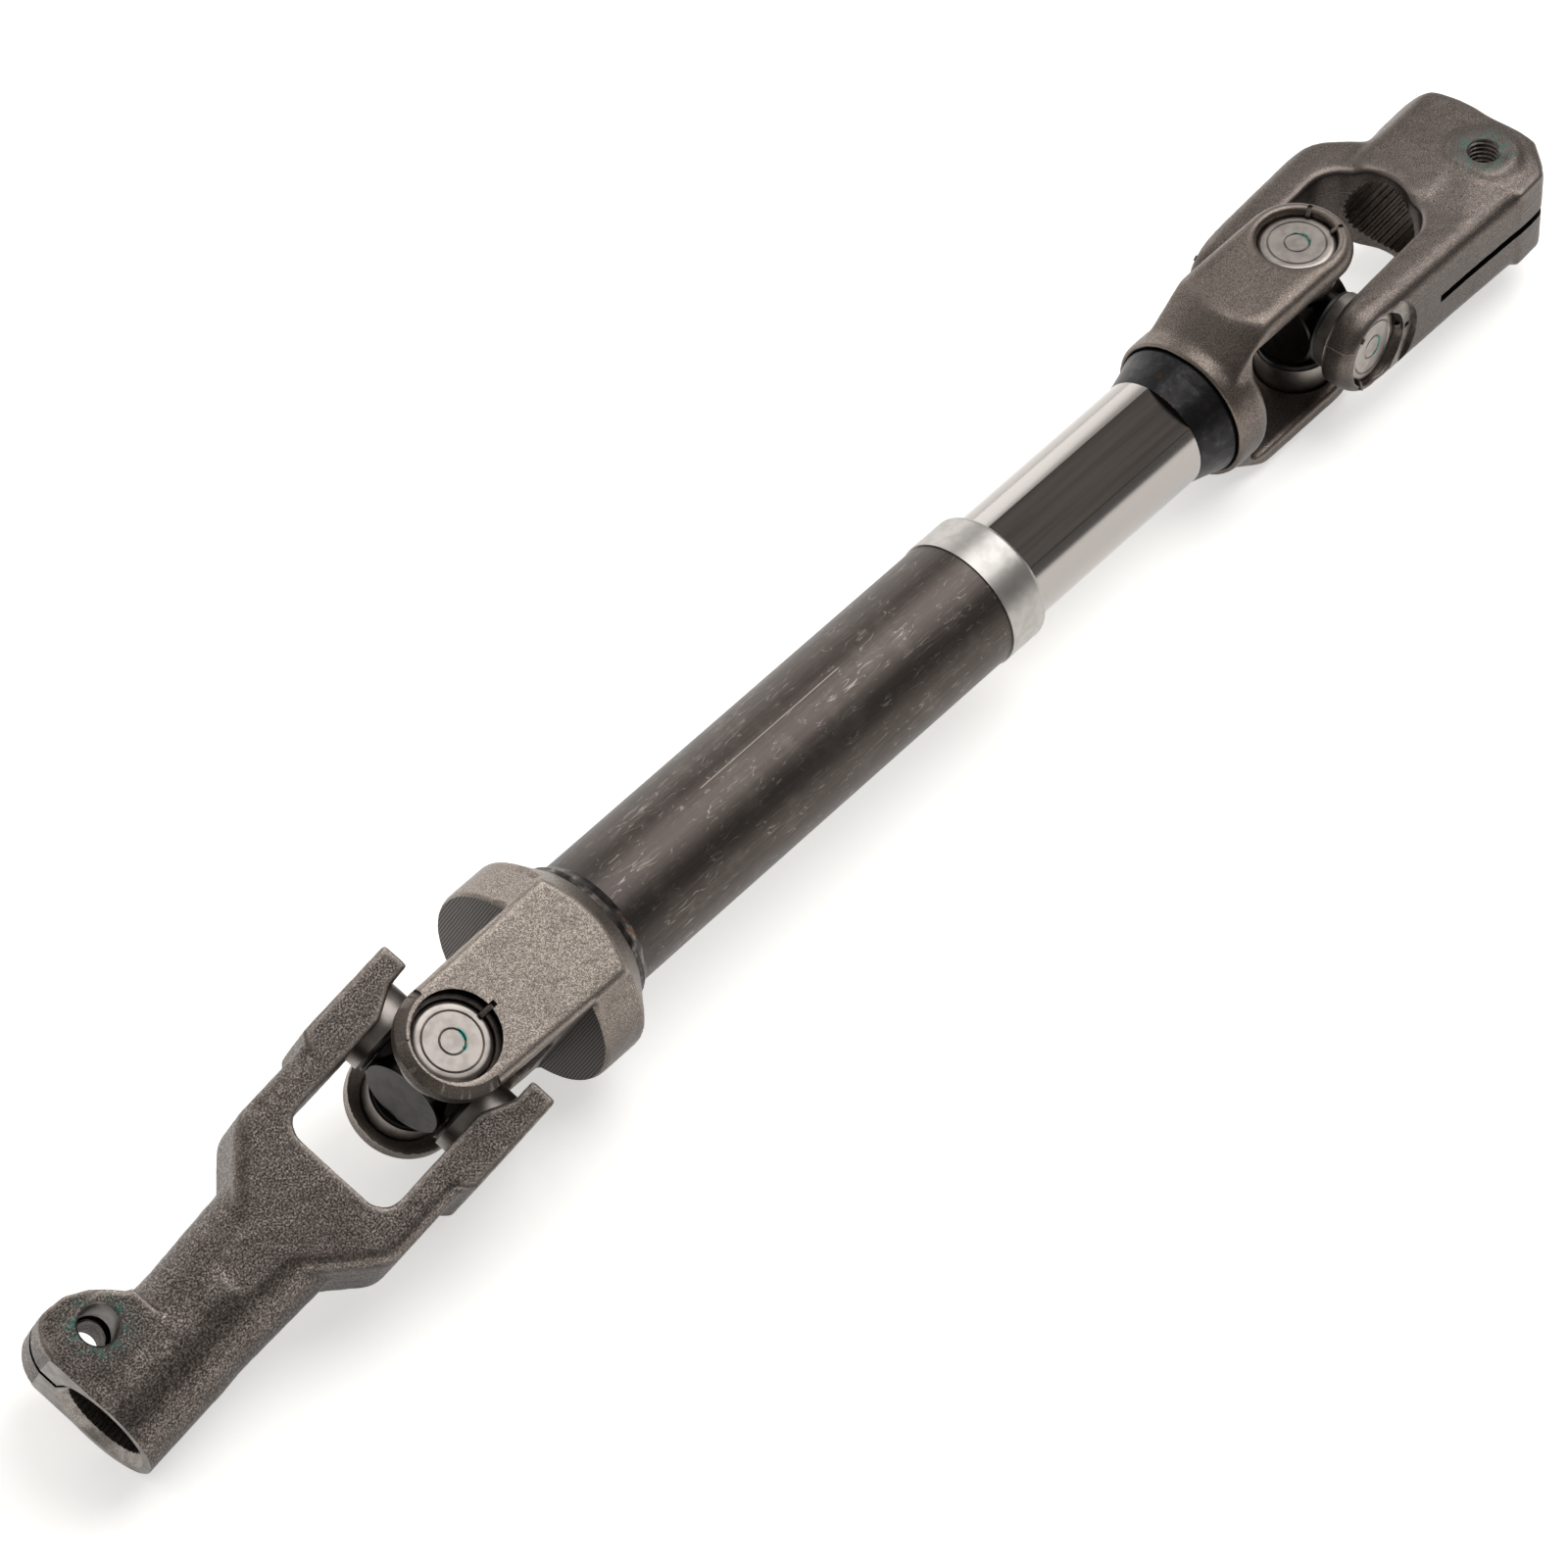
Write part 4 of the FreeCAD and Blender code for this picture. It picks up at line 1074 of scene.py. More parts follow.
    def stake(self, arm: Matrix, angle_deg: float, mark: "Stake") -> None:
        """Strike one stake mark beside a cup.

        Args:
            arm: Frame whose Z points out of the arm.
            angle_deg: Its direction from the cup's centre, from the arm's X toward its Y.
            mark: Its kind and sizes.
        """
        turn = arm @ Matrix.Rotation(math.radians(angle_deg), 4, "Z")
        start, end = mark.reach
        floor, half = mark.face - mark.depth, mark.width / 2
        notch = bar(self.node + "_notch", (start, -half, floor), (end, half, mark.face + 3))
        with editing(notch):
            bpy.ops.mesh.subdivide(number_cuts=2)
        for vertex in notch.data.vertices:
            # The punch has a blunt point, so the notch narrows to its floor.
            if vertex.co.z < floor + 0.01:
                vertex.co.y *= 0.6
                vertex.co.x += 0.25 * (end - start) * (1 if vertex.co.x < (start + end) / 2 else -1)
        self.cutters.append((turned_to(notch, turn), self.skin))
        if mark.lip_mm:
            foot, top, side = self.seat_radius - mark.overhang, mark.face - mark.sink, mark.width * 0.45
            lip = bar(self.node + "_lip", (foot, -side, self.cup_face + 0.03), (start + 0.4, side, top))
            modify(lip, "BEVEL", width=0.18, segments=2)
            for vertex in lip.data.vertices:
                inward = max(0.0, (start - vertex.co.x) / (start - foot))
                if vertex.co.z > self.cup_face + 0.4:
                    vertex.co.z -= inward * (top - self.cup_face - mark.lip_mm)
            lip.data.materials.append(self.skin)
            self.lips.append(turned_to(lip, turn))


@dataclass(frozen=True)
class Stake:
    """A punch mark that holds a cup: a notch in the arm and the lip that it pushed over the cup's edge.

    Its sizes are in millimetres. A lip of no height means that the punch left none.
    """

    face: float = 22.0
    reach: tuple[float, float] = (9.4, 11.2)
    width: float = 1.5
    depth: float = 0.9
    lip_mm: float = 0.7
    overhang: float = 1.0
    sink: float = 0.25


def arm_frame(direction: Sequence[float], across: Sequence[float]) -> Matrix:
    """Frame at a joint's centre, in millimetres.

    Args:
        direction: Direction of its Z, out of an arm.
        across: Direction of its X, along the yoke.

    Returns:
        The frame as a matrix.
    """
    z = Vector(direction)
    x = Vector(across)
    y = z.cross(x)
    return Matrix([(x[i], y[i], z[i], 0) for i in range(3)] + [(0, 0, 0, 1)])


def mark_wear_and_shade(piece: bpy.types.Object, reach: int = 6, spread: int = 3, strength: float = 3.0) -> None:
    """Store on each point how far its surface bulges: over a half on edges, under it in hollows.

    Args:
        piece: Object whose mesh is in millimetres.
        reach: Rounds of averaging that give the even surface to compare with.
        spread: Rounds of averaging that soften the result.
        strength: Change in the stored value for a bulge of a millimetre.
    """
    mesh = piece.data
    count = len(mesh.vertices)
    spots = np.zeros(count * 3)
    normals = np.zeros(count * 3)
    ends = np.zeros(len(mesh.edges) * 2, int)
    mesh.vertices.foreach_get("co", spots)
    mesh.vertices.foreach_get("normal", normals)
    mesh.edges.foreach_get("vertices", ends)
    spots, normals, ends = spots.reshape(-1, 3), normals.reshape(-1, 3), ends.reshape(-1, 2)
    links = np.maximum(np.bincount(ends.ravel(), minlength=count), 1)

    def around(values: np.ndarray) -> np.ndarray:
        """Average of each point's neighbours.

        Args:
            values: A number or a vector for each point.

        Returns:
            The averages, in the same order.
        """
        total = np.zeros_like(values)
        np.add.at(total, ends[:, 0], values[ends[:, 1]])
        np.add.at(total, ends[:, 1], values[ends[:, 0]])
        return total / (links[:, None] if values.ndim > 1 else links)

    smooth = spots.copy()
    for _ in range(reach):
        smooth = around(smooth)
    bulge = ((spots - smooth) * normals).sum(1)
    for _ in range(spread):
        bulge = around(bulge)
    layer = mesh.attributes.new("wear_and_shade", "FLOAT", "POINT")
    layer.data.foreach_set("value", np.clip(0.5 + bulge * strength, 0, 1).astype(np.float32))


@dataclass
class TubeYoke:
    """The yoke welded to the outer tube. Its sizes are in millimetres."""

    assembly: Assembly
    arm_face: float = 22.0
    lobe_front: float = 27.6
    arm_half_width: float = 12.95
    clear: float = 30.0
    recess_centre: tuple[float, float] = (0.75, 0.3)
    recess_radius: float = 9.4
    recess_level: float = 20.3
    shoulder: tuple[tuple[float, float], ...] = ((21.8, 10.0), (21.6, 12.6), (16.4, 16.5), (12.0, 10.0))
    shoulder_span: tuple[float, float] = (28.2, 36.8)
    bevel_flat: float = 10.7
    bevel_foot: float = 12.5
    bevel_depth: float = 2.4
    bevel_reach: float = 16.0
    bevel_centre: float = 1.2

    def build(self) -> None:
        """Forge, machine and place it."""
        place = self.assembly.tube
        # These colours are lighter than the other yokes': a painted highlight for the light on the arms'
        # flats.
        colours = {"dark": "645c57", "middle": "827971", "light": "aaa097"}
        look = {"place": place, "grit_mm": 0.28, "roughness": (0.48, 0.38)}
        skin = BlastedForging("lit_blasted_forging_tube_yoke", **colours, **look).build()
        cut = CutSteel("bored_steel_tube_yoke", place=place).build()
        forging = Forging(self.assembly, "tube_yoke", "outer_tube", place, skin, cut, rounding=3)
        forging.plugs += self.shoulders()
        forging.bore_cups(True, self.arm_face)
        hatching = {"roughness": 0.42, "patchiness": 0.25, "hatch_mm": 0.6}
        # The lobes' fronts: real saw hatching, in a near black colour that is painted shade beside the arms.
        sawn_and_shaded = CutSteel("sawn_steel_lobes_shaded", place=place, dark="1f1c1a", light="5d5652", **hatching).build()
        # Painted shadow: the milled recess round each cup is coloured near black for the shade in it.
        shadow = CutSteel("seat_shadow_tube_yoke", place=place, dark="24201f", light="3b3634").build()
        for side in (-1, 1):
            near, far = sorted((side * self.arm_half_width, side * self.clear))
            forging.cutters.append((bar("lobe_saw", (15, near, -28), (self.lobe_front, far, 28)), sawn_and_shaded))
        for out in (1, -1):
            arm = arm_frame((0, 0, out), (1, 0, 0))
            along, across = self.recess_centre
            forging.spot_face(arm, (along, across * out), self.recess_radius, self.recess_level, shadow)
            forging.cutters.append((turned_to(self.bevel(), arm @ UPRIGHT), forging.skin))
            forging.stake(arm, 0.7, Stake(reach=(9.8, 11.6), width=1.3, depth=1.3, lip_mm=0.8))
            forging.stake(arm, 143, Stake(reach=(9.1, 10.6), width=0.45, depth=0.4, lip_mm=0.0))
            forging.stake(arm, -146, Stake(reach=(9.3, 11.0), width=0.3, depth=0.45, lip_mm=0.0))
        forging.machine()

    def shoulders(self) -> list[bpy.types.Object]:
        """Fillings between the arms' flats and the round lobes."""
        near, far = self.shoulder_span
        fillings = []
        for up in (-1, 1):
            for side in (-1, 1):
                outline = [(up * high, side * wide) for high, wide in self.shoulder]
                fillings.append(turned_to(prism("shoulder_filling", outline, -far, -near), UPRIGHT))
        return fillings

    def bevel(self) -> bpy.types.Object:
        """The ring that bevels the edge round an arm's tip, about X."""
        flat, reach, face = self.bevel_flat, self.bevel_reach, self.arm_face - 0.05
        low, high = face - self.bevel_depth, face + 3
        foot = (low, self.bevel_foot)
        section = ((face, flat), (high, flat), (high, reach), (low, reach), foot, (face, flat))
        ring = lathe("tip_bevel", section, 144)
        subtract(ring, bar("tip_bevel_end", (face - 9, -reach - 1, -reach - 1), (face + 9, reach + 1, 0.0)))
        return turned_to(ring, Matrix.Translation((0, 0, -self.bevel_centre)))


@dataclass
class ShaftYoke:
    """The yoke welded to the sliding shaft. Its sizes are in millimetres."""

    assembly: Assembly
    arm_face: float = 22.0
    spot_centre: tuple[float, float] = (-1.9, 0.0)
    spot_radius: float = 10.7
    spot_depth: float = 0.3

    def build(self) -> None:
        """Forge, machine and place it."""
        place = self.assembly.shaft_yoke
        colours = {"dark": "524a45", "middle": "6b625c", "light": "8d837b"}
        look = {"place": place, "grit_mm": 0.24, "roughness": (0.46, 0.34)}
        skin = BlastedForging("blasted_forging_shaft_yoke", **colours, **look).build()
        cut = CutSteel("bored_steel_shaft_yoke", place=place).build()
        forging = Forging(
            self.assembly, "shaft_yoke", "sliding_shaft", place, skin, cut, cell_mm=0.46, rounding=60
        )
        forging.bore_cups(True, self.arm_face)
        for out in (1, -1):
            arm = arm_frame((0, 0, out), (1, 0, 0))
            level = self.arm_face - self.spot_depth
            forging.spot_face(arm, self.spot_centre, self.spot_radius, level)
            for angle in (-157.6, 149.8):
                forging.stake(arm, angle, Stake(level, reach=(9.2, 10.7), width=1.2, depth=0.7, lip_mm=0.6))
            forging.stake(arm, -10.5, Stake(face=21.9, reach=(9.0, 9.6), width=0.6, depth=0.4, lip_mm=0.0))
        forging.machine()


@dataclass
class ClampBore:
    """A clamp yoke's serrated bore with its slit and its pinch bolt's hole. Its sizes are in millimetres."""

    forging: Forging
    start: float
    end: float
    slit_start: float
    bolt_at: float
    bolt_offset: float
    half_height: float
    tapped_above: bool
    chamfer: float
    end_faced: bool = True
    teeth: int = 36
    crest: float = 9.1
    root: float = 9.52
    slit_mm: float = 2.0
    clearance_radius: float = 4.1
    tap_radius: float = 3.4
    thread_radius: float = 4.0
    thread_pitch: float = 1.25
    facing: float = 0.06
    # Points of one tooth: how far round its pitch each is, and whether it is at the root.
    tooth: tuple[tuple[float, bool], ...] = ((0.0, False), (0.17, True), (0.45, True), (0.62, False))

    def add_tools(self) -> None:
        """Plug the bore and the bolt's hole in the blank, and make the cutters that open them again."""
        forging = self.forging
        forging.slit_start = self.slit_start
        if self.end_faced:
            forging.faced.append((self.end, 1.2))
        name, place, plug_wall = forging.node, forging.place, 0.6
        polish = {"roughness": 0.32, "patchiness": 0.4}
        teeth = CutSteel(name + "_teeth", dark="6d6661", light="a39c96", place=place, **polish)
        mouth = CutSteel(name + "_mouth", dark="7d7671", light="b3aca6", place=place)
        # Painted shade: the slit's sawn walls are coloured near black for the shade in the narrow gap.
        saw = CutSteel(name + "_slit_painted_shade", dark="1d1a18", light="3a3532", place=place)
        forging.plugs.append(peg(name + "_plug", self.start, self.end + 1, self.root + plug_wall, 48))
        high = self.half_height - 0.05
        spot = Matrix.Translation((self.bolt_at, -self.bolt_offset, 0)) @ UPRIGHT
        bolt_plug = peg(name + "_bolt_plug", -high, high, self.clearance_radius + plug_wall, 32)
        forging.plugs.append(turned_to(bolt_plug, spot))
        facing = bar(name + "_facing", (self.end - self.facing, -40, -40), (self.end + 8, 40, 40))
        half = self.slit_mm / 2
        slit = bar(name + "_slit", (self.slit_start, -40, -half), (self.end + 5, 0, half))
        forging.cutters += [
            (facing, forging.cut),
            (self.serrations(), teeth.build()),
            (self.mouth(), mouth.build()),
            (slit, saw.build()),
            (turned_to(self.drill(), spot), forging.cut),
            (turned_to(self.thread(), spot), forging.cut),
        ]

    def mouth(self) -> bpy.types.Object:
        """The countersink of the bore."""
        foot, wide, over = self.end - self.chamfer, self.root + self.chamfer, 3
        rim = ((foot, self.root), (self.end, wide), (self.end + over, wide + over))
        return lathe(self.forging.node + "_mouth", ((foot, 0), *rim, (self.end + over, 0)), 144)

    def drill(self) -> bpy.types.Object:
        """The stepped drill of the pinch bolt's hole, along X.

        Returns:
            The drill, with clearance size on one side of the slit and tapping size on the other.
        """
        top, bottom = self.clearance_radius, self.tap_radius
        if self.tapped_above:
            top, bottom = bottom, top
        high, over = self.half_height, self.half_height + 6
        wide_top, wide_bottom = top + 0.5, bottom + 0.5
        below = ((-over, 0), (-over, wide_bottom), (-high - 0.1, wide_bottom), (-high + 0.45, bottom))
        above = ((high - 0.45, top), (high + 0.1, wide_top), (over, wide_top), (over, 0))
        return lathe(self.forging.node + "_drill", (*below, (0, bottom), (0, top), *above), 64)

    def thread(self) -> bpy.types.Object:
        """The tap that cuts the pinch bolt's thread: one sharp tooth wound along X."""
        deep, foot, half = self.thread_radius + 0.02, self.tap_radius - 0.15, self.thread_pitch * 0.44
        section = ((-half, 0, foot), (0, 0, deep), (half, 0, foot))
        tap = made(self.forging.node + "_tap", section, ((0, 1), (1, 2), (2, 0)))
        winding = {"axis": "X", "angle": math.tau, "steps": 40, "render_steps": 40}
        turns = int(self.half_height / self.thread_pitch)
        modify(tap, "SCREW", screw_offset=self.thread_pitch, iterations=turns, **winding)
        with editing(tap):
            bpy.ops.mesh.fill_holes(sides=0)
            face_outwards()
        low = 0.4 if self.tapped_above else -self.half_height
        return turned_to(tap, Matrix.Translation((low, 0, 0)))

    def serrations(self) -> bpy.types.Object:
        """The broach that cuts the serrated bore."""
        length, pitch = self.end - self.start + 10, math.tau / self.teeth
        spots = [(index + share, at_root) for index in range(self.teeth) for share, at_root in self.tooth]
        deselect()
        bpy.ops.mesh.primitive_circle_add(vertices=len(spots), radius=self.crest, fill_type="NGON")
        broach = bpy.context.object
        for vertex, (turn, at_root) in zip(broach.data.vertices, spots):
            radius, angle = self.root if at_root else self.crest, turn * pitch
            vertex.co = (0, radius * math.cos(angle), radius * math.sin(angle))
        turned_to(broach, Matrix.Translation((self.start - 6, 0, 0)))
        with editing(broach):
            bpy.ops.mesh.extrude_region_move(TRANSFORM_OT_translate={"value": (length, 0, 0)})
            face_outwards()
        return broach


@dataclass
class LowerYoke:
    """The long clamp yoke at the lower end. Its sizes are in millimetres."""

    assembly: Assembly
    arm_face: float = 22.8
    bolt: tuple[float, float] = (85.0, 13.0)
    neck_height: float = 12.6
    ear_slope_deg: float = 32.0
    ear_ridge: float = 17.5
    ear_plan: tuple[tuple[float, float], ...] = (
        (60, -13.3),
        (76.2, -13.3),
        (77.7, -15.3),
        (80.8, -18.9),
        (84.6, -21.6),
        (89.8, -22.4),
        (94.9, -21.8),
        (99, -20.0),
    )

    def build(self) -> None:
        """Forge, machine and place it."""
        place = self.assembly.lower_yoke
        bolt_at, offset = self.bolt
        paint_at = (bolt_at * MM, -offset * MM)
        look = {"place": place, "grit_mm": 0.42, "smear_at": paint_at}
        skin = BlastedForging("blasted_forging_lower_yoke", **look).build()
        cut = CutSteel("broached_steel_lower_yoke", place=place).build()
        blank = {"cell_mm": 0.48, "rounding": 7, "relief_mm": 0.2}
        forging = Forging(self.assembly, "lower_yoke", "lower_yoke", place, skin, cut, **blank)
        forging.bore_cups(False, self.arm_face)
        ClampBore(
            forging,
            start=62.5,
            end=96.5,
            slit_start=60.0,
            bolt_at=bolt_at,
            bolt_offset=offset,
            half_height=self.neck_height,
            tapped_above=False,
            chamfer=1.8,
        ).add_tools()
        forging.trims += self.trimming()
        for out in (1, -1):
            arm = arm_frame((0, out, 0), (1, 0, 0))
            for angle in (0, 120, 240):
                mark = Stake(self.arm_face, reach=(9.3, 10.9), width=1.3, depth=0.9, lip_mm=0.8)
                forging.stake(arm, angle, mark)
        forging.machine()

    def trimming(self) -> list[bpy.types.Object]:
        """Cutters that flatten the neck's root, round the ear's plan and slope the ear's upper face."""
        high = self.neck_height
        lean = Matrix.Rotation(math.radians(self.ear_slope_deg), 4, "X")
        ridge = Matrix.Translation((0, -self.ear_ridge, high))
        return [
            prism("ear_plan", (*self.ear_plan, (99, -32), (60, -32)), -30, 30),
            bar("neck_flat", (20, -30, -30), (62, 30, -high)),
            bar("neck_flat", (20, -30, high), (62, 30, 30)),
            turned_to(bar("ear_slope", (68, -30, 0), (104, 30, 30)), ridge @ lean),
        ]


@dataclass
class UpperYoke:
    """The short clamp yoke at the upper end. Its sizes are in millimetres."""

    assembly: Assembly
    seats_face: float = 23.0
    # Faces of the two arms, the one on the near side of Y first.
    arm_faces: tuple[tuple[int, float], ...] = ((-1, 22.4), (1, 23.2))
    spot_centre: tuple[float, float] = (1.3, 0.0)
    spot_radius: float = 11.0
    spot_depth: float = 0.3
    bolt: tuple[float, float] = (53.3, 12.5)
    crown_height: float = 12.4
    ear_height: float = 11.0
    boss_height: float = 13.0
    boss_radius: float = 7.8
    window_end: tuple[float, float] = (24.7, 0.6)
    window_radius: float = 11.0
    hub_side: float = 13.4
    ear_corner: tuple[tuple[float, float], ...] = (
        (48, -5),
        (48, -26.1),
        (56.8, -26.1),
        (60.4, -23.2),
        (64.4, -18.7),
        (64.4, -5),
    )
    shoulder: tuple[tuple[float, float], ...] = (
        (24, 23.6),
        (29, 23.3),
        (33.5, 22.0),
        (37.5, 19.4),
        (41, 16.0),
        (45, 12.6),
        (48, 12.6),
    )
    corner: tuple[tuple[float, float], ...] = (
        (56, 13.6),
        (59.5, 12.6),
        (62.3, 10.4),
        (64.2, 7.4),
        (65.3, 3.6),
        (70, 3.6),
    )

    def build(self) -> None:
        """Forge, machine and place it."""
        place = self.assembly.upper_yoke
        bolt_at, offset = self.bolt
        colours = {"dark": "4c4541", "middle": "645c57", "light": "857c76"}
        look = {"place": place, "grit_mm": 0.24, "roughness": (0.46, 0.34), "parting_at": 5.0 * MM}
        paint_at = (bolt_at * MM, -offset * MM)
        skin = BlastedForging("blasted_forging_upper_yoke", smear_at=paint_at, **colours, **look).build()
        cut = CutSteel("broached_steel_upper_yoke", place=place).build()
        blank = {"cell_mm": 0.46, "rounding": 34}
        forging = Forging(self.assembly, "upper_yoke", "upper_yoke", place, skin, cut, **blank)
        forging.bore_cups(False, self.seats_face)
        ClampBore(
            forging,
            start=34.0,
            end=65.2,
            slit_start=20.8,
            bolt_at=bolt_at,
            bolt_offset=offset,
            half_height=self.boss_height,
            tapped_above=True,
            chamfer=0.7,
            end_faced=False,
        ).add_tools()
        forging.plugs += self.crown()
        forging.trims += self.trimming()
        for out, face in self.arm_faces:
            arm = arm_frame((0, out, 0), (1, 0, 0))
            level = face - self.spot_depth
            forging.spot_face(arm, self.spot_centre, self.spot_radius, level)
            for angle in (0, 130, 230):
                forging.stake(arm, angle, Stake(level, reach=(9.2, 11.2), width=1.5, depth=0.9, lip_mm=0.7))
        forging.machine()

    def boss(self, radius: float) -> bpy.types.Object:
        """The round boss of the pinch bolt's thread, or the hole that a cutter leaves for it.

        Args:
            radius: Its radius.

        Returns:
            The body, in its place.
        """
        bolt_at, offset = self.bolt
        body = peg("bolt_boss", -self.boss_height, self.boss_height, radius, 64)
        return turned_to(body, Matrix.Translation((bolt_at, -offset, 0)) @ UPRIGHT)

    def crown(self) -> list[bpy.types.Object]:
        """Fillings for the flat crown over the bore and for the ear's full corner."""
        top, side = self.crown_height, self.ear_height
        ridge = []
        for up in (-1, 1):
            ridge += [(x, y, up * top) for x in (47, 64.4) for y in (8.3, -13.5)]
            ridge += [(x, y, up * side) for x, y in ((34, 11), (34, -21), (57, -25), (64.4, -19))]
            ridge += [(64.4, 12.8, up * 7)]
        corner = prism("ear_corner", self.ear_corner, -side, side)
        return [hull("crown", ridge), corner, self.boss(self.boss_radius)]

    def trimming(self) -> list[bpy.types.Object]:
        """Cutters that round the window's end, flatten the crown round the boss and slim the hub."""
        window = peg("window_end", -30, 30, self.window_radius, 96)
        tools = [
            turned_to(window, Matrix.Translation((*self.window_end, 0)) @ UPRIGHT),
            bar("hub_side", (46, self.hub_side, -30), (80, 30, 30)),
            prism("shoulder_round", (*self.shoulder, (48, 30), (24, 30)), -30, 30),
            prism("corner_round", (*self.corner, (70, 20), (56, 20)), -30, 30),
        ]
        profile = ((20, 10.9), (47, self.crown_height), (20, 30), (47, 30))
        for side in (-1, 1):
            tools.append(hull("crown_slope", [(x, y, side * z) for x, z in profile for y in (-40, 40)]))
            low, high = sorted((side * self.crown_height, side * 30))
            flat = bar("crown_flat", (20, -40, low), (80, 40, high))
            tools.append(subtract(flat, self.boss(self.boss_radius + 0.1)))
        return tools


@dataclass
class Shaft:
    """The outer tube, its end ring and the sliding shaft."""

    assembly: Assembly

    def build(self) -> None:
        """Dress the tube's and the shaft's pieces."""
        assembly = self.assembly
        assembly.dress("outer_tube", DrawnTube("drawn_tube", place=assembly.tube).build())
        assembly.dress("end_ring", SatinSteel("satin_ring", place=assembly.tube).build())
        assembly.dress("inner_shaft", PolishedBar("polished_bar", place=assembly.flats).build())
        assembly.dress("slide_liner", MouldedLiner("moulded_liner").build())
        assembly.dress("tube_weld", MottledWeld("weld_on_tube").build())
        greys = {"dark": "2c2b2c", "middle": "343334", "silver": "444344"}
        assembly.dress("shaft_weld", MottledWeld("weld_on_shaft", spot_share=0.1, **greys).build())
        LOG.info("tube and shaft dressed")


@dataclass
class Cup:
    """A drawn bearing cup with a rounded edge and two rings pressed into its face, in millimetres."""

    node: str
    body: str
    face: float = 20.0
    rim: float = 10.7
    radius: float = 8.75
    wall: float = 1.5
    floor: float = 1.6
    edge: float = 1.45
    edge_steps: int = 6
    rings: tuple[float, float] = (2.69, 6.36)
    groove: float = 0.28
    groove_half_width: float = 0.25
    crease_deg: float = 30.0

    def build(self, seat: Matrix, finish: bpy.types.Material) -> None:
        """Spin the cup and put it in its seat.

        Args:
            seat: Frame at the joint's centre with its Z out of the arm.
            finish: Its surface.
        """
        profile = [(self.face, 0.0)]
        half = self.groove_half_width
        for ring in self.rings:
            profile += [(self.face, ring - half), (self.face - self.groove, ring), (self.face, ring + half)]
        for step in range(self.edge_steps + 1):
            turn = step / self.edge_steps * math.pi / 2
            back, inward = self.edge * (1 - math.cos(turn)), self.edge * (1 - math.sin(turn))
            profile.append((self.face - back, self.radius - inward))
        inside = self.radius - self.wall
        ceiling = self.face - self.floor
        profile += [(self.rim, self.radius), (self.rim, inside), (ceiling, inside), (ceiling, 0.0)]
        cup = turned_to(lathe(self.node + "_drawn", profile), seat @ Matrix.Scale(MM, 4) @ UPRIGHT)
        cup.data.materials.append(finish)
        choose(cup)
        bpy.ops.object.shade_smooth_by_angle(angle=math.radians(self.crease_deg))
        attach(cup, self.body)
        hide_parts(self.node)
        LOG.info("%s: %d faces", cup.name, len(cup.data.polygons))


@dataclass
class Bearings:
    """The crosses with their cups, needles and seals."""

    assembly: Assembly
    # Turn of the paint in a cup's ring: on the far side in the shaft yoke's cups, else to the near right.
    far_paint: float = math.pi
    near_paint: float = 0.6

    def build(self) -> None:
        """Dress every bearing piece."""
        rubber = SealRubber("seal_rubber").build()
        ground = SatinSteel("ground_cross", dark="2a2726", light="383432", roughness=0.3).build()
        needle = SatinSteel("hardened_needle").build()
        seats = {
            "lower_cup_top": self.assembly.tube,
            "lower_cup_bottom": self.assembly.tube @ Matrix.Rotation(math.pi, 4, "X"),
            "upper_cup_top": self.assembly.shaft_yoke,
            "upper_cup_bottom": self.assembly.shaft_yoke @ Matrix.Rotation(math.pi, 4, "X"),
        }
        for joint, yoke in (("lower", self.assembly.lower_yoke), ("upper", self.assembly.upper_yoke)):
            for side, turn in (("left", -1), ("right", 1)):
                seats[f"{joint}_cup_{side}"] = yoke @ Matrix.Rotation(turn * math.pi / 2, 4, "X")
        for name, seat in seats.items():
            joint, _, side = name.split("_")
            body = joint + "_yoke"
            if side in ("top", "bottom"):
                body = {"lower": "outer_tube", "upper": "sliding_shaft"}[joint]
            turn = self.far_paint if body == "sliding_shaft" else self.near_paint
            Cup(name, body).build(seat, PressedCup("pressed_" + name, place=seat, paint_turn=turn).build())
            self.assembly.dress(name.replace("cup", "seal"), rubber)
            self.assembly.dress(name.replace("cup", "needles"), needle)
        for name in ("lower_cross", "upper_cross"):
            self.assembly.dress(name, ground)
        LOG.info("bearings dressed")


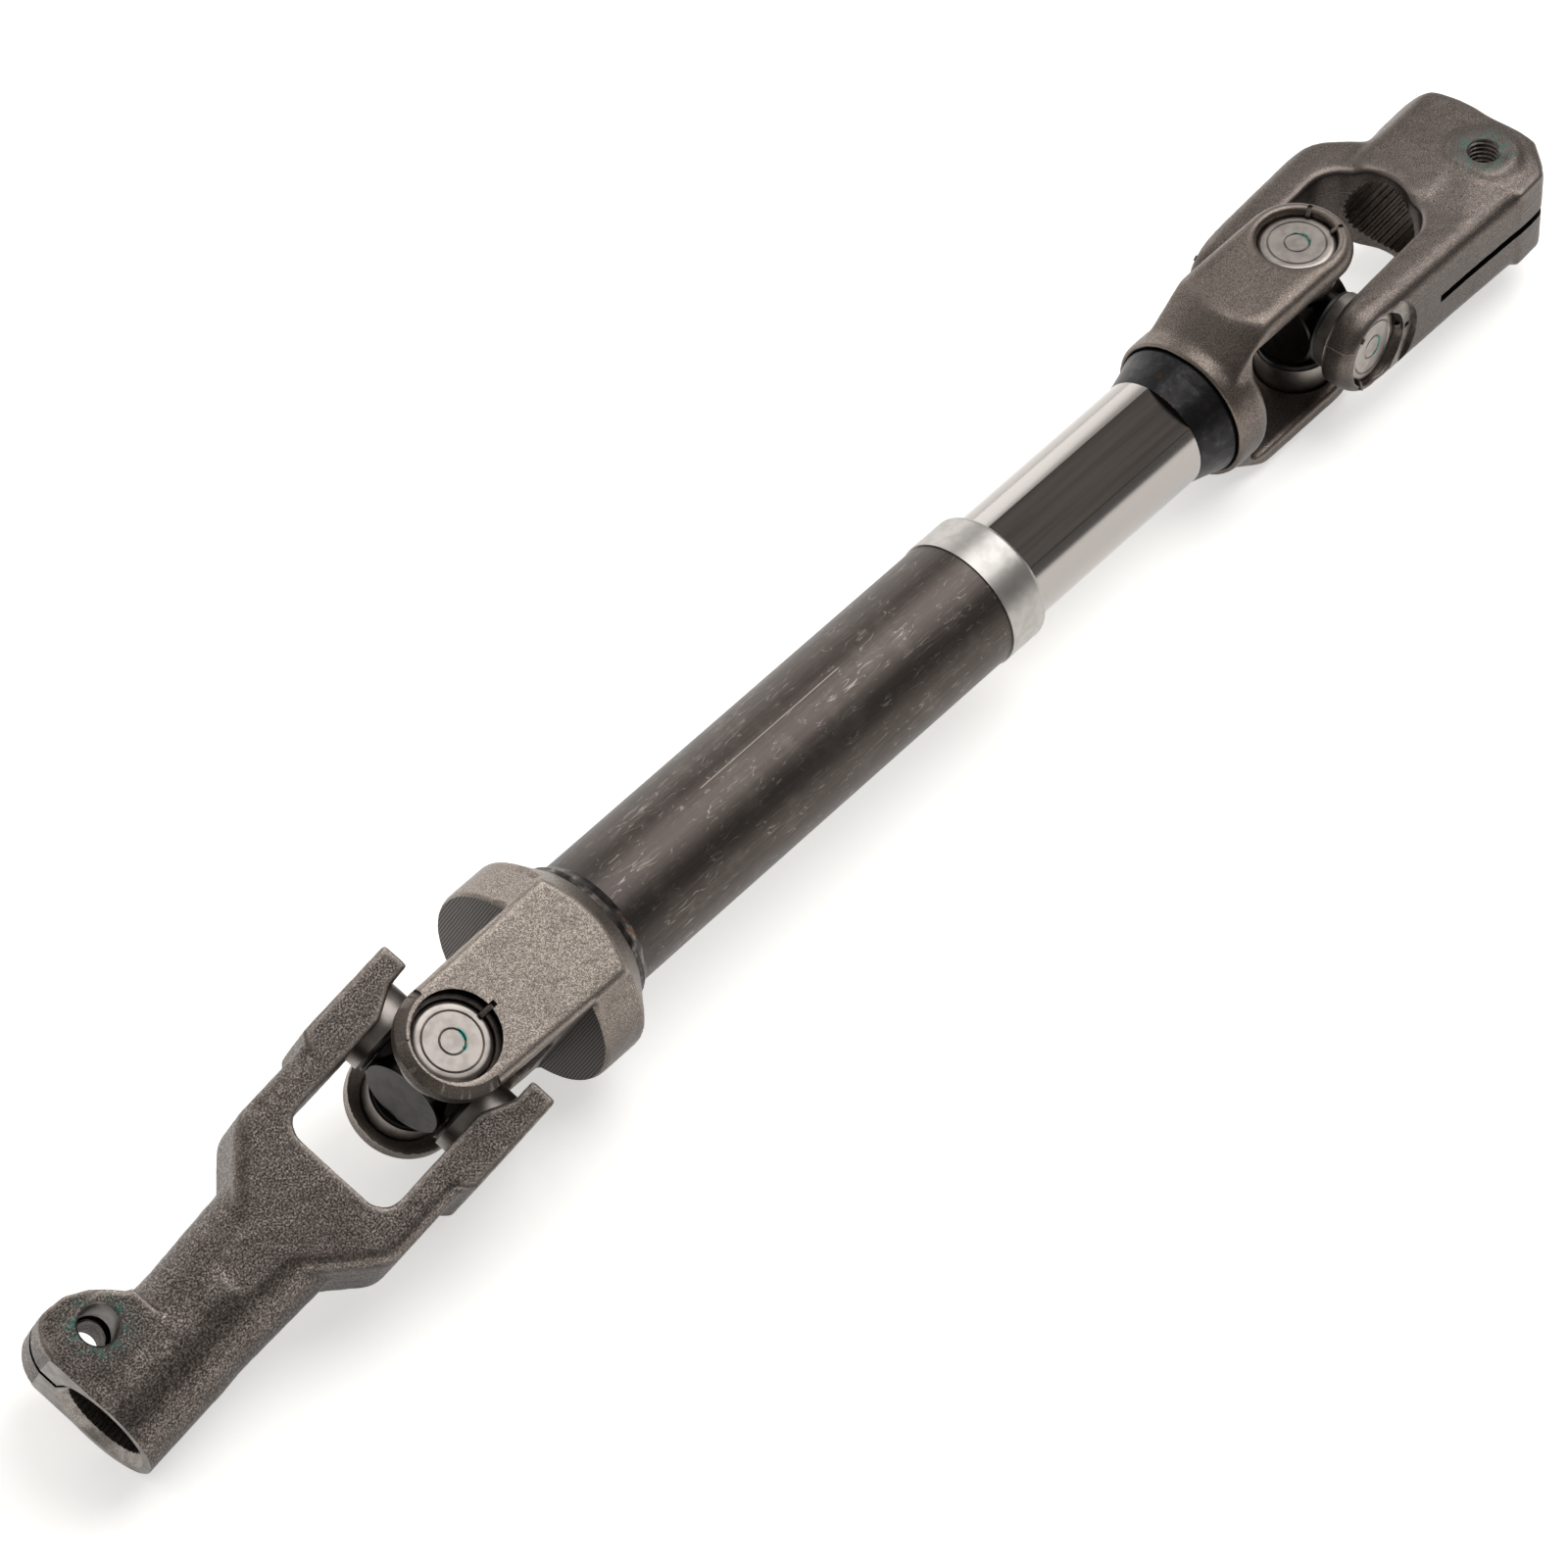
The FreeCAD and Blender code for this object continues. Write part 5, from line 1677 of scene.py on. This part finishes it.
@dataclass
class Studio:
    """Pale floor, soft light and the camera."""

    floor_size: float = 6.0
    floor_colour: str = "f4f3f1"
    floor_glow: float = 0.62
    floor_roughness: float = 0.9
    sky: Colour = (1.0, 0.98, 0.96, 1.0)
    dark_side: float = 0.16
    bright_side: float = 0.6
    eye: tuple[float, float, float] = (-0.62556, -0.61294, 1.03800)
    aim: tuple[float, float, float] = (-0.01984, -0.00512, 0.025)
    roll_deg: float = -4.53
    lens_mm: float = 149.56

    def build(self) -> None:
        """Make the floor, the lights, the world and the camera."""
        bpy.context.scene.view_settings.view_transform = "Standard"
        self.floor()
        self.world()
        self.softbox("softbox_above", (0.59, -0.12, 1.08), 1.0, 9.0)
        self.softbox("softbox_behind", (0.5, 1.3, 0.5), 0.9, 3.5)
        self.camera()

    def floor(self) -> None:
        """A wide matt sheet that the shaft lies on."""
        deselect()
        bpy.ops.mesh.primitive_plane_add(size=self.floor_size)
        sheet = bpy.context.object
        sheet.name = "floor"
        material = bpy.data.materials.new("matt_floor")
        material.use_nodes = True
        tree = material.node_tree
        white = linear(self.floor_colour)
        look = {"Base Color": white, "Roughness": self.floor_roughness}
        look |= {"Emission Color": white, "Emission Strength": self.floor_glow}
        connect(tree, tree.nodes["Principled BSDF"], look)
        sheet.data.materials.append(material)

    def world(self) -> None:
        """Soft light from behind and above, with a dark wall in front for the steel to reflect."""
        world = bpy.data.worlds.new("studio")
        world.use_nodes = True
        tree = world.node_tree
        parts = add(tree, "SeparateXYZ", {"Vector": add(tree, "TexCoord").outputs["Generated"]})
        turn = {"Value": parts.outputs["Y"], "From Min": -0.6, "From Max": 0.8}
        behind = add(tree, "MapRange", turn, interpolation_type=SOFT)
        level = add(tree, "MapRange", {"Value": behind, "To Min": self.dark_side, "To Max": self.bright_side})
        connect(tree, tree.nodes["Background"], {"Color": self.sky, "Strength": level})
        bpy.context.scene.world = world

    def softbox(self, name: str, spot: Sequence[float], size: float, power: float) -> None:
        """Hang a square softbox that faces the shaft.

        Args:
            name: Name of the light.
            spot: Where it hangs, in metres.
            size: Length of its side, in metres.
            power: Its power in watts.
        """
        light = bpy.data.lights.new(name, "AREA")
        light.size = size
        light.energy = power
        lamp = bpy.data.objects.new(name, light)
        lamp.location = spot
        lamp.rotation_euler = (-Vector(spot)).to_track_quat("-Z", "Y").to_euler()
        bpy.context.collection.objects.link(lamp)

    def camera(self) -> None:
        """Put the camera where the photo was taken from."""
        data = bpy.data.cameras.new("camera")
        data.lens = self.lens_mm
        data.sensor_width = 36.0
        camera = bpy.data.objects.new("camera", data)
        look = (Vector(self.aim) - Vector(self.eye)).to_track_quat("-Z", "Y").to_matrix().to_4x4()
        roll = Matrix.Rotation(math.radians(self.roll_deg), 4, "Z")
        camera.matrix_world = Matrix.Translation(self.eye) @ look @ roll
        bpy.context.collection.objects.link(camera)
        bpy.context.scene.camera = camera


def main() -> None:
    """Build the looks, class by class."""
    logging.basicConfig(level=logging.INFO, format="%(name)s: %(message)s")
    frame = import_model()
    assembly = Assembly(frame)
    Studio().build()
    Shaft(assembly).build()
    Bearings(assembly).build()
    for yoke in (TubeYoke, ShaftYoke, LowerYoke, UpperYoke):
        yoke(assembly).build()


if __name__ == "__main__":
    main()
